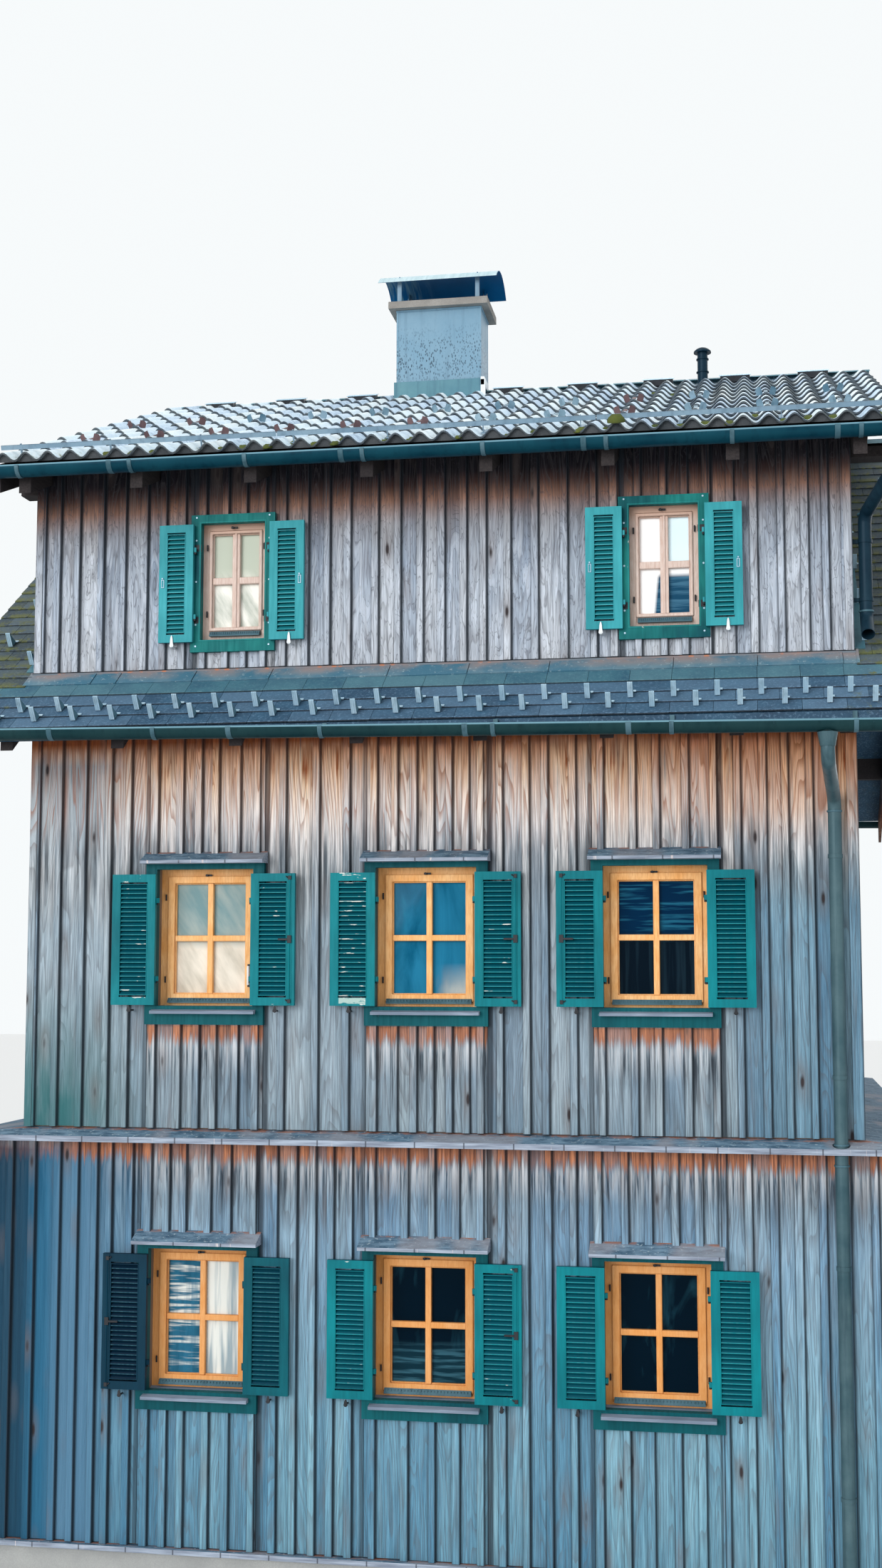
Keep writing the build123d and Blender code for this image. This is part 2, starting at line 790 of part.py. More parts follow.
# Gutters under both eaves of each roof, with their straps
upper_gutter_y = front_face - upper_gutter_setout
upper_gutter_x = tile_left_x - gutter_end_overhang
upper_gutter_length = tile_width + 2 * gutter_end_overhang
with BuildPart() as upper_gutters:
    gutter(
        (upper_gutter_x, upper_gutter_y, upper_gutter_level), (1, 0, 0),
        upper_gutter_length, upper_gutter_joints, upper_outlet_x, upper_gutter_y,
    )
    mirror(about=Plane.XZ)
save(upper_gutters, "upper_gutters")

middle_gutter_y = front_face - middle_gutter_setout
middle_gutter_left = middle_gutter_level + middle_gutter_fall * middle_gutter_length / 2
with BuildPart() as middle_gutters:
    gutter(
        (-middle_gutter_length / 2, middle_gutter_y, middle_gutter_left), (1, 0, -middle_gutter_fall),
        middle_gutter_length, middle_gutter_joints, middle_outlet_x, middle_gutter_y,
    )
    mirror(about=Plane.XZ)
save(middle_gutters, "middle_gutters")

middle_bracket_count = int(middle_gutter_length // middle_bracket_pitch)
with BuildPart() as gutter_brackets:
    for number in range(upper_rafter_count):
        gutter_bracket(
            first_rafter_x + number * upper_rafter_pitch, upper_gutter_y, upper_gutter_level,
            front_face - upper_rafter_overhang, upper_gutter_level,
        )
    for number in range(middle_bracket_count):
        x = (number - (middle_bracket_count - 1) / 2) * middle_bracket_pitch
        gutter_bracket(
            x, middle_gutter_y, middle_gutter_level - middle_gutter_fall * x,
            front_face - main_eave_overhang, main_eave_level - bracket_thickness,
        )
    mirror(about=Plane.XZ)
save(gutter_brackets, "gutter_brackets")


def downpipe(*corners):
    """A round pipe that follows the corners, with easy bends."""
    with BuildLine() as route:
        FilletPolyline(*corners, radius=pipe_bend_radius)
    with BuildSketch(Plane(origin=corners[0], z_dir=(0, 0, -1))) as bore:
        Circle(pipe_radius)
        Circle(pipe_radius - pipe_wall, mode=Mode.SUBTRACT)
    sweep(bore.sketch, path=route.line)


def funnel(x, y, top):
    """The tapered collar between the gutter's outlet and the pipe."""
    with BuildSketch(Plane.XY.offset(top)) as mouth:
        with Locations((x, y)):
            Circle(funnel_diameter / 2)
    with BuildSketch(Plane.XY.offset(top - funnel_height)) as neck:
        with Locations((x, y)):
            Circle(pipe_radius + pipe_wall)
    loft([mouth.sketch, neck.sketch])
    with BuildSketch(Plane.XY.offset(top)) as hole:
        with Locations((x, y)):
            Circle(pipe_radius - pipe_wall)
    extrude(hole.sketch, amount=-funnel_height, mode=Mode.SUBTRACT)


def pipe_clip(x, y, z, wall_x, wall_y):
    """A band round the pipe and the stem that holds it to the wall."""
    with BuildSketch(Plane.XY.offset(z)) as band:
        with Locations((x, y)):
            Circle(pipe_radius + bracket_thickness)
            Circle(pipe_radius, mode=Mode.SUBTRACT)
    extrude(band.sketch, amount=pipe_clip_width)
    half = pipe_stem_width / 2
    if wall_x is None:
        block(x - half, x + half, y + pipe_radius, wall_y, z, z + pipe_clip_width)
    else:
        block(wall_x, x - pipe_radius, y - half, y + half, z, z + pipe_clip_width)


# Downpipes: a funnel, a swan neck back to the wall, and a straight fall in clips
middle_pipe_y = front_face - pipe_wall_gap - pipe_radius
middle_outlet_top = (
    middle_gutter_level - middle_gutter_fall * (middle_outlet_x + funnel_diameter / 2) - gutter_radius
)
with BuildPart() as middle_downpipes:
    funnel(middle_outlet_x, middle_gutter_y, middle_outlet_top)
    downpipe(
        (middle_outlet_x, middle_gutter_y, middle_outlet_top - funnel_height),
        (middle_outlet_x, middle_gutter_y, middle_outlet_top - funnel_height - neck_drop),
        (middle_pipe_x, middle_pipe_y, middle_outlet_top - funnel_height - neck_drop - middle_neck_fall),
        (middle_pipe_x, middle_pipe_y, pipe_foot),
    )
    for z in middle_clip_levels:
        pipe_clip(middle_pipe_x, middle_pipe_y, z, None, front_face)
    mirror(about=Plane.XZ)
save(middle_downpipes, "middle_downpipes")

upper_outlet_top = upper_gutter_level - gutter_radius
upper_pipe_y = front_face + pipe_clip_width
with BuildPart() as upper_downpipes:
    funnel(upper_outlet_x, upper_gutter_y, upper_outlet_top)
    downpipe(
        (upper_outlet_x, upper_gutter_y, upper_outlet_top - funnel_height),
        (upper_outlet_x, upper_gutter_y, upper_outlet_top - funnel_height - neck_drop),
        (upper_pipe_x, upper_pipe_y, upper_outlet_top - funnel_height - neck_drop - upper_neck_fall),
        (upper_pipe_x, upper_pipe_y, shoe_level + shoe_length),
        (upper_pipe_x, upper_pipe_y - shoe_length, shoe_level),
    )
    for z in upper_clip_levels:
        pipe_clip(upper_pipe_x, upper_pipe_y, z, house_width / 2, upper_pipe_y)
    mirror(about=Plane.XZ)
save(upper_downpipes, "upper_downpipes")


def wall_plane(x, z, proud=0):
    """A plane on the front wall's face that looks out, its origin at a window's foot."""
    return Plane(origin=(x, front_face - proud, z), x_dir=(1, 0, 0), z_dir=(0, -1, 0))


# Window sills: planks that the frames stand on, sloped outside and with ears over the wall
with BuildPart() as window_sills:
    for row in rows:
        if row.kind.has_sill:
            for x in row.centres:
                seat = front_face + row.kind.setback
                nose = front_face - sill_depth_outside
                foot = row.level - sill_thickness
                face_top = row.level - sill_fall * row.kind.setback / (seat - nose)
                half = row.kind.frame_width / 2
                bar_along_x(
                    (
                        (nose, foot), (seat + frame_depth, foot), (seat + frame_depth, row.level),
                        (seat, row.level), (nose, row.level - sill_fall),
                    ),
                    x - half, x + half,
                )
                bar_along_x(
                    ((nose, foot), (front_face, foot), (front_face, face_top), (nose, row.level - sill_fall)),
                    x - half - sill_ear, x + half + sill_ear,
                )
    mirror(about=Plane.XZ)
save(window_sills, "window_sills")

# Window casings: green boards round each opening, proud of the cladding
with BuildPart() as window_casings:
    for row in rows:
        kind = row.kind
        height = kind.opening_height + kind.casing_below + kind.casing_above
        for x in row.centres:
            with BuildSketch(wall_plane(x, row.level)):
                with Locations((0, height / 2 - kind.casing_below)):
                    Rectangle(kind.casing_width, height)
                with Locations((0, kind.opening_height / 2)):
                    Rectangle(kind.opening_width, kind.opening_height, mode=Mode.SUBTRACT)
            extrude(amount=casing_depth)
    mirror(about=Plane.XZ)
    add(window_sills.part, mode=Mode.SUBTRACT)
save(window_casings, "window_casings")

# Drip caps: sloped boards over the large windows
with BuildPart() as drip_caps:
    for row in rows:
        if row.kind.has_sill:
            low = row.level + row.kind.opening_height + row.kind.casing_above
            for x in row.centres:
                bar_along_x(
                    (
                        (front_face - drip_cap_projection, low),
                        (front_face, low),
                        (front_face, low + drip_cap_rise),
                        (front_face - drip_cap_projection, low + drip_cap_fascia),
                    ),
                    x - drip_cap_width / 2, x + drip_cap_width / 2,
                )
    mirror(about=Plane.XZ)
save(drip_caps, "drip_caps")

# Window frames: a fixed frame with the casement's rails set back in it
with BuildPart() as window_frames:
    for row in rows:
        kind = row.kind
        middle = frame_bottom(row) - row.level + kind.frame_height / 2
        glass_height = kind.frame_height - kind.rail_below - kind.rail_above
        glass_middle = middle + (kind.rail_below - kind.rail_above) / 2
        glass_width = kind.frame_width - 2 * kind.rail_side
        for x in row.centres:
            with BuildSketch(wall_plane(x, row.level, -kind.setback)):
                with Locations((0, middle)):
                    Rectangle(kind.frame_width, kind.frame_height)
                    Rectangle(
                        kind.frame_width - 2 * sash_inset, kind.frame_height - 2 * sash_inset,
                        mode=Mode.SUBTRACT,
                    )
            extrude(amount=-frame_depth)
            with BuildSketch(wall_plane(x, row.level, -kind.setback - sash_setback)):
                with Locations((0, middle)):
                    Rectangle(kind.frame_width - 2 * sash_inset, kind.frame_height - 2 * sash_inset)
                with Locations((0, glass_middle)):
                    Rectangle(glass_width, glass_height, mode=Mode.SUBTRACT)
            extrude(amount=sash_setback - frame_depth)
    mirror(about=Plane.XZ)
save(window_frames, "window_frames")

# Window glass: one sheet in each casement
with BuildPart() as window_glass:
    for row in rows:
        kind = row.kind
        middle = frame_bottom(row) - row.level + kind.frame_height / 2
        glass_height = kind.frame_height - kind.rail_below - kind.rail_above
        glass_middle = middle + (kind.rail_below - kind.rail_above) / 2
        for x in row.centres:
            with BuildSketch(wall_plane(x, row.level, -kind.setback - frame_depth / 2)):
                with Locations((0, glass_middle)):
                    Rectangle(kind.frame_width - 2 * kind.rail_side, glass_height)
            extrude(amount=-glass_thickness)
    mirror(about=Plane.XZ)
save(window_glass, "window_glass")

# Shutters: each leaf hangs on two pins; open, it lies flat beside its window
leaf_back_y = front_face - casing_depth - leaf_gap


def pin_place(row, x, side):
    """Plan position of a leaf's hinge line."""
    y = leaf_back_y if row.kind.has_sill else leaf_back_y - leaf_thickness / 2
    return x + side * row.kind.pin_offset, y


def eye_levels(row):
    """Undersides of the two hinge eyes of a leaf."""
    bottom = row.level - row.kind.leaf_below
    return bottom + pintle_inset, bottom + row.kind.leaf_height - pintle_inset - eye_height


def leaf(row, x, side):
    """An open shutter leaf: stiles and rails round sloping slats, with its two hinge eyes."""
    kind = row.kind
    width = kind.pin_offset - pin_to_leaf - meeting_gap
    pin_x, pin_y = pin_place(row, x, side)
    edge = pin_x + side * pin_to_leaf
    middle_x = edge + side * width / 2
    middle_z = row.level - kind.leaf_below + kind.leaf_height / 2
    with BuildSketch(wall_plane(middle_x, middle_z, casing_depth + leaf_gap)) as border:
        Rectangle(width, kind.leaf_height)
        Rectangle(width - 2 * stile_width, kind.leaf_height - 2 * rail_width, mode=Mode.SUBTRACT)
    extrude(border.sketch, amount=leaf_thickness)
    field_height = kind.leaf_height - 2 * rail_width
    slat_count = int(field_height // slat_pitch)
    first_slat = middle_z - (slat_count - 1) / 2 * slat_pitch - (slat_rise + slat_thickness) / 2
    outer_y = leaf_back_y - (leaf_thickness + slat_depth) / 2
    with BuildSketch(Plane.YZ.offset(middle_x - width / 2 + stile_width)) as slats:
        with Locations(*[(outer_y, first_slat + n * slat_pitch) for n in range(slat_count)]):
            Polygon(
                (0, 0), (slat_depth, slat_rise), (slat_depth, slat_rise + slat_thickness),
                (0, slat_thickness), align=None,
            )
    extrude(slats.sketch, amount=width - 2 * stile_width)
    for z in eye_levels(row):
        with BuildSketch(Plane.XY.offset(z)) as eye:
            with Locations((pin_x, pin_y)):
                Circle(eye_radius)
            with Locations(((pin_x + edge) / 2, leaf_back_y - leaf_thickness / 4)):
                Rectangle(pin_to_leaf, leaf_thickness / 2)
            with Locations((pin_x, pin_y)):
                Circle(pin_radius + pin_clearance, mode=Mode.SUBTRACT)
        extrude(eye.sketch, amount=eye_height)


def pintles(row, x, side):
    """The two fixed pins of a leaf, each on a boss with an arm to the casing."""
    pin_x, pin_y = pin_place(row, x, side)
    for z in eye_levels(row):
        boss_top = z - pin_clearance
        with BuildSketch(Plane.XY.offset(boss_top - boss_height)) as boss:
            with Locations((pin_x, pin_y)):
                Circle(boss_radius)
        extrude(boss.sketch, amount=boss_height)
        with BuildSketch(Plane.XY.offset(boss_top)) as pin:
            with Locations((pin_x, pin_y)):
                Circle(pin_radius)
        extrude(pin.sketch, amount=eye_height)
        if row.kind.has_sill:
            jamb = x + side * row.kind.opening_width / 2
            block(
                min(pin_x, jamb), max(pin_x, jamb), pin_y + arm_clearance, pin_y + arm_depth,
                boss_top - boss_height, boss_top,
            )
        else:
            block(
                pin_x - arm_width / 2, pin_x + arm_width / 2, pin_y, front_face - casing_depth,
                boss_top - boss_height, boss_top,
            )


with BuildPart() as shutter_pintles:
    for row in rows:
        for x in row.centres:
            for side in (-1, 1):
                pintles(row, x, side)
    mirror(about=Plane.XZ)
save(shutter_pintles, "shutter_pintles")

# Each kind of window has one pattern leaf for its left and one for its right
pattern_leaves = {}
for kind in (large_window, small_window):
    for side in (-1, 1):
        with BuildPart() as pattern:
            leaf(Row("pattern", kind, (0,), 0), 0, side)
        pattern_leaves[kind, side] = pattern.part

for row in rows:
    number = 0
    for x in row.centres:
        for side in (-1, 1):
            number += 1
            with BuildPart() as shutter:
                add(pattern_leaves[row.kind, side].moved(Location((x, 0, row.level))))
            save(shutter, f"{row.name}_shutter_{number}")

with BuildPart() as back_shutters:
    for row in rows:
        for x in row.centres:
            for side in (-1, 1):
                add(pattern_leaves[row.kind, side].moved(Location((x, 0, row.level))))
    mirror(about=Plane.XZ, mode=Mode.REPLACE)
save(back_shutters, "back_shutters")
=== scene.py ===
"""Looks of the three-storey timber lodge, in metres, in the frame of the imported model.

X runs along the front, Y from the front (negative) to the back, Z up. The back repeats the front.
"""
import json
import math
import random

import bpy
from mathutils import Matrix, Vector

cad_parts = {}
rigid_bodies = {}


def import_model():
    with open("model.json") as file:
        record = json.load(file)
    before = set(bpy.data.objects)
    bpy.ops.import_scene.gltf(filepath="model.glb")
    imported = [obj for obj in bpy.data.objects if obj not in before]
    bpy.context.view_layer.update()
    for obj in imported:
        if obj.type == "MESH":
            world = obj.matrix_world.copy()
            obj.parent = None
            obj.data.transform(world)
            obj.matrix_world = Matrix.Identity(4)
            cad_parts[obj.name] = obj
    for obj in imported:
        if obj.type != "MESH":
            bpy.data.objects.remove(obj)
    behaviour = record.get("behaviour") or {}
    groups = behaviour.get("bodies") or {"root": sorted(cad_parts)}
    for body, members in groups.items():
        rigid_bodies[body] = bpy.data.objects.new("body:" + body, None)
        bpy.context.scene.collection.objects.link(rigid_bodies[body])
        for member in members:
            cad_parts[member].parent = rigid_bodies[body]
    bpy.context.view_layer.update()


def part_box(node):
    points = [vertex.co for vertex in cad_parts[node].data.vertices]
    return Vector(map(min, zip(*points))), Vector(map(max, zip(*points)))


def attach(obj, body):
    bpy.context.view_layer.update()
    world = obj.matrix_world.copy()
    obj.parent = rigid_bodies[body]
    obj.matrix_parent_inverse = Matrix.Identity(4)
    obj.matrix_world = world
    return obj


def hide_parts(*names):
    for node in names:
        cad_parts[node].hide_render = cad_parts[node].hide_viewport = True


bpy.ops.object.select_all(action="SELECT")
bpy.ops.object.delete()
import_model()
chance = random.Random(11)

# Sizes that the frame has
HALF_DEPTH = 3.12
WALL_Y = -HALF_DEPTH
SIDE_X = 2.57
LOWER_SIDE_X = 2.89
HALF_WIDTHS = {"lower": LOWER_SIDE_X, "middle": SIDE_X, "upper": SIDE_X}
CASING_Y = -3.18
LEAF_FACE_Y = -3.219
MAIN_ANGLE = math.radians(35)
MAIN_SLOPE = math.tan(MAIN_ANGLE)
UPPER_ANGLE = math.radians(21.7)
UPPER_SLOPE = math.tan(UPPER_ANGLE)
MAIN_WALL_LEVEL = 5.9536
MAIN_SLAB_FOOT = 5.8804
RAFTER_TOP = 7.3385
TILE_FOOT = 7.4117

# Boards and battens
BOARD_THICKNESS = 0.022
BATTEN_WIDTH = 0.046
# Where the boards of the side walls end, and a level above the house for boards that no ledge shelters
SIDE_END = 3.098
NO_SHELTER = 20.0
# Feet and heads of the boards of each storey, and the levels between which looks change to the next storey's
LEVELS = {"lower": (0.512, 2.963), "middle": (3.047, 5.86), "upper": (5.957, 7.325)}
LOWER_TO_MIDDLE = (2.9, 3.1)
MIDDLE_TO_UPPER = (5.4, 5.6)
# Middles of the battens of each storey, seen from the front
BATTENS = {
    "lower": (
        -2.83, -2.7, -2.55, -2.384, -2.264, -2.134, -2.04, -1.904, -1.784, -1.664, -1.554, -1.394, -1.266,
        -1.1, -0.966, -0.84, -0.72, -0.608, -0.492, -0.344, -0.144, 0.026, 0.174, 0.324, 0.456, 0.6, 0.74,
        0.89, 1.04, 1.2, 1.34, 1.5, 1.64, 1.78, 1.93, 2.08, 2.22, 2.36, 2.5, 2.66, 2.8,
    ),
    "middle": (
        -2.42, -2.255, -2.083, -1.951, -1.771, -1.607, -1.483, -1.371, -1.231, -1.099, -0.931, -0.715,
        -0.519, -0.343, -0.211, -0.091, 0.017, 0.133, 0.237, 0.329, 0.449, 0.613, 0.729, 0.901, 1.073,
        1.269, 1.413, 1.589, 1.757, 1.901, 2.053, 2.185, 2.33, 2.47,
    ),
    "upper": (
        -2.468, -2.332, -2.168, -2.02, -1.872, -1.744, -1.616, -1.474, -1.326, -1.204, -1.074, -0.944,
        -0.796, -0.654, -0.522, -0.342, -0.196, -0.052, 0.084, 0.224, 0.35, 0.504, 0.676, 0.86, 1.044,
        1.17, 1.318, 1.476, 1.606, 1.74, 1.884, 2.024, 2.188, 2.33, 2.454,
    ),
}
# Colour of the weathered boards by height; the near-black stops under the two eaves are painted eave shadow,
# and the orange stops just below the middle eave are brightened as painted light against that eave's shade
BOARD_COLOURS_AND_EAVE_SHADE = (
    (0.5, (0.13, 0.29, 0.39)), (1.3, (0.17, 0.35, 0.46)), (2.4, (0.24, 0.38, 0.5)),
    (2.93, (0.2, 0.25, 0.29)), (3.0, (0.23, 0.32, 0.38)), (3.3, (0.26, 0.34, 0.4)),
    (4.28, (0.31, 0.4, 0.47)), (4.7, (0.4, 0.44, 0.47)), (4.92, (0.72, 0.7, 0.7)),
    (5.08, (0.86, 0.77, 0.71)), (5.2, (0.92, 0.72, 0.6)), (5.32, (1.0, 0.67, 0.47)),
    (5.4, (1.0, 0.55, 0.33)), (5.47, (0.3, 0.08, 0.03)), (5.56, (0.2, 0.05, 0.02)),
    (5.8, (0.52, 0.56, 0.62)), (6.45, (0.49, 0.55, 0.63)), (6.68, (0.41, 0.46, 0.53)),
    (6.85, (0.31, 0.32, 0.35)), (7.0, (0.25, 0.13, 0.09)), (7.09, (0.08, 0.04, 0.032)),
    (7.18, (0.014, 0.012, 0.018)),
)
# Gutters: middle y, level of the rim at the house's middle, and fall to the right
UPPER_GUTTER = (-3.5765, 7.213, 0.0)
MIDDLE_GUTTER = (-3.838, 5.468, 0.0105)
GUTTER_RADIUS = 0.0665
# Downpipes: x, y and the levels of their joints
PIPE_JOINTS = ((2.472, -3.21, (4.98, 3.02, 2.9, 0.5)), (2.692, -3.096, (6.8, 6.2)))
# The chimney stack's cladding: its ends, its half depth, its foot and its top
STACK_LEFT, STACK_RIGHT = -0.8, -0.11
STACK_DEPTH = 0.2
STACK_FOOT, STACK_TOP = 8.75, 9.352
# The two kinds of window. Half widths: of the opening, the casing, the sash and the glass. Heights above the
# opening's foot: of the opening, of the frame's head, and the glass's foot and head. How far the casing goes
# below and above the opening, how far the frame is set back, and the widths of the glazing bars
LARGE = {
    "half": 0.316, "height": 0.86, "casing": 0.3875, "below": 0.116, "above": 0.035, "setback": 0.07,
    "frame_head": 0.866, "glass": (0.235, 0.074, 0.776), "bars": (0.0375, 0.0375), "sash": 0.28,
}
SMALL = {
    "half": 0.2125, "height": 0.763, "casing": 0.2785, "below": 0.078, "above": 0.054, "setback": 0.02,
    "frame_head": 0.772, "glass": (0.1575, 0.088, 0.704), "bars": (0.052, 0.045), "sash": 0.1765,
}
# Each window: its storey, its middle, the foot of its opening and its kind
WINDOWS = [("lower", x, 1.45, LARGE) for x in (-1.45, -0.015, 1.39)]
WINDOWS += [("middle", x, 3.81, LARGE) for x in (-1.43, -0.01, 1.4)]
WINDOWS += [("upper", x, 6.139, SMALL) for x in (-1.271, 1.478)]


# Working with pieces

def nothing_selected():
    """Object mode, with nothing selected."""
    if bpy.context.object and bpy.context.object.mode != "OBJECT":
        bpy.ops.object.mode_set(mode="OBJECT")
    bpy.ops.object.select_all(action="DESELECT")


def take(piece):
    """Select one piece alone and make it active."""
    nothing_selected()
    piece.select_set(True)
    bpy.context.view_layer.objects.active = piece


def settle(piece):
    """Put a piece's place, turn and size into its mesh."""
    take(piece)
    bpy.ops.object.transform_apply(location=True, rotation=True, scale=True)


def block(name, low, high):
    """A block between two corners."""
    nothing_selected()
    middle = [(a + b) / 2 for a, b in zip(low, high)]
    size = [b - a for a, b in zip(low, high)]
    bpy.ops.mesh.primitive_cube_add(size=1, location=middle, scale=size)
    piece = bpy.context.active_object
    piece.name = name
    settle(piece)
    return piece


def finish_modifiers(piece):
    """Apply every modifier of a piece."""
    take(piece)
    for modifier in list(piece.modifiers):
        bpy.ops.object.modifier_apply(modifier=modifier.name)


def ease_edges(piece, width, segments=1):
    """Bevel the sharp edges of a piece."""
    bevel = piece.modifiers.new("Eased edges", "BEVEL")
    bevel.width = width
    bevel.segments = segments
    bevel.limit_method = "ANGLE"
    bevel.angle_limit = math.radians(40)
    finish_modifiers(piece)
    return piece


def smooth(piece, angle=35):
    """Shade a piece smooth up to an angle."""
    take(piece)
    bpy.ops.object.shade_smooth_by_angle(angle=math.radians(angle))
    return piece


def edit(piece):
    """Enter edit mode with the whole of a piece selected."""
    take(piece)
    bpy.ops.object.mode_set(mode="EDIT")
    bpy.ops.mesh.select_all(action="SELECT")


def done(piece):
    """Back to object mode with the faces turned outwards."""
    bpy.ops.mesh.select_all(action="SELECT")
    bpy.ops.mesh.normals_make_consistent(inside=False)
    bpy.ops.object.mode_set(mode="OBJECT")
    return piece


def bar(name, outline, start, end):
    """A bar of one outline of (y, z) corners, extruded along X from start to end."""
    nothing_selected()
    bpy.ops.mesh.primitive_circle_add(vertices=len(outline), radius=1, fill_type="NGON")
    piece = bpy.context.active_object
    piece.name = name
    for vertex, (y, z) in zip(piece.data.vertices, outline):
        vertex.co = (start, y, z)
    edit(piece)
    bpy.ops.mesh.extrude_region_move(TRANSFORM_OT_translate={"value": (end - start, 0, 0)})
    return done(piece)


def rod(name, start, end, radius, sides=8):
    """A round bar from one point to another."""
    nothing_selected()
    start, end = Vector(start), Vector(end)
    turn = (end - start).to_track_quat("Z", "Y").to_euler()
    bpy.ops.mesh.primitive_cone_add(
        vertices=sides, radius1=radius, radius2=radius,
        depth=(end - start).length, location=(start + end) / 2, rotation=turn,
    )
    piece = bpy.context.active_object
    piece.name = name
    settle(piece)
    return piece


def join(name, pieces):
    """Several pieces made into one."""
    nothing_selected()
    for piece in pieces:
        piece.select_set(True)
    bpy.context.view_layer.objects.active = pieces[0]
    bpy.ops.object.join()
    joined = bpy.context.active_object
    joined.name = name
    joined.data.name = name
    return joined


def mark(piece, across, drop):
    """Note on a model, per point, how far it is across and below its top."""
    marks = piece.data.attributes.new("grain", "FLOAT_VECTOR", "POINT")
    for vertex, item in zip(piece.data.vertices, marks.data):
        item.vector = (across(vertex.co), 0, drop(vertex.co))
    return piece


def copies(name, model, places):
    """Copies of a model, each at its matrix and with a tone of its own, joined; the model goes."""
    made = []
    for place in places:
        copy = bpy.data.objects.new(name, model.data.copy())
        bpy.context.collection.objects.link(copy)
        copy.data.transform(place)
        if place.determinant() < 0:
            copy.data.flip_normals()
        marks = copy.data.attributes.get("grain")
        if marks:
            tone = chance.random()
            for item in marks.data:
                item.vector[1] = tone
        made.append(copy)
    bpy.data.objects.remove(model)
    return join(name, made)


def shift(x=0.0, y=0.0, z=0.0):
    """A matrix that only moves."""
    return Matrix.Translation((x, y, z))


def to_the_back(piece, name):
    """A second piece, mirrored to the back of the house."""
    twin = bpy.data.objects.new(name, piece.data.copy())
    bpy.context.collection.objects.link(twin)
    twin.data.transform(Matrix.Scale(-1, 4, (0, 1, 0)))
    twin.data.flip_normals()
    return twin


def wear(piece, finish, body="house"):
    """Give a piece its finish, in one slot, and the body that it rides on."""
    piece.data.materials.clear()
    piece.data.materials.append(finish)
    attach(piece, body)


def on_both_sides(piece, finish):
    """Finish a piece of the front, named so, and mirror it to the back."""
    wear(piece, finish)
    wear(to_the_back(piece, piece.name.replace("_front", "_back")), finish)


# Working with finishes

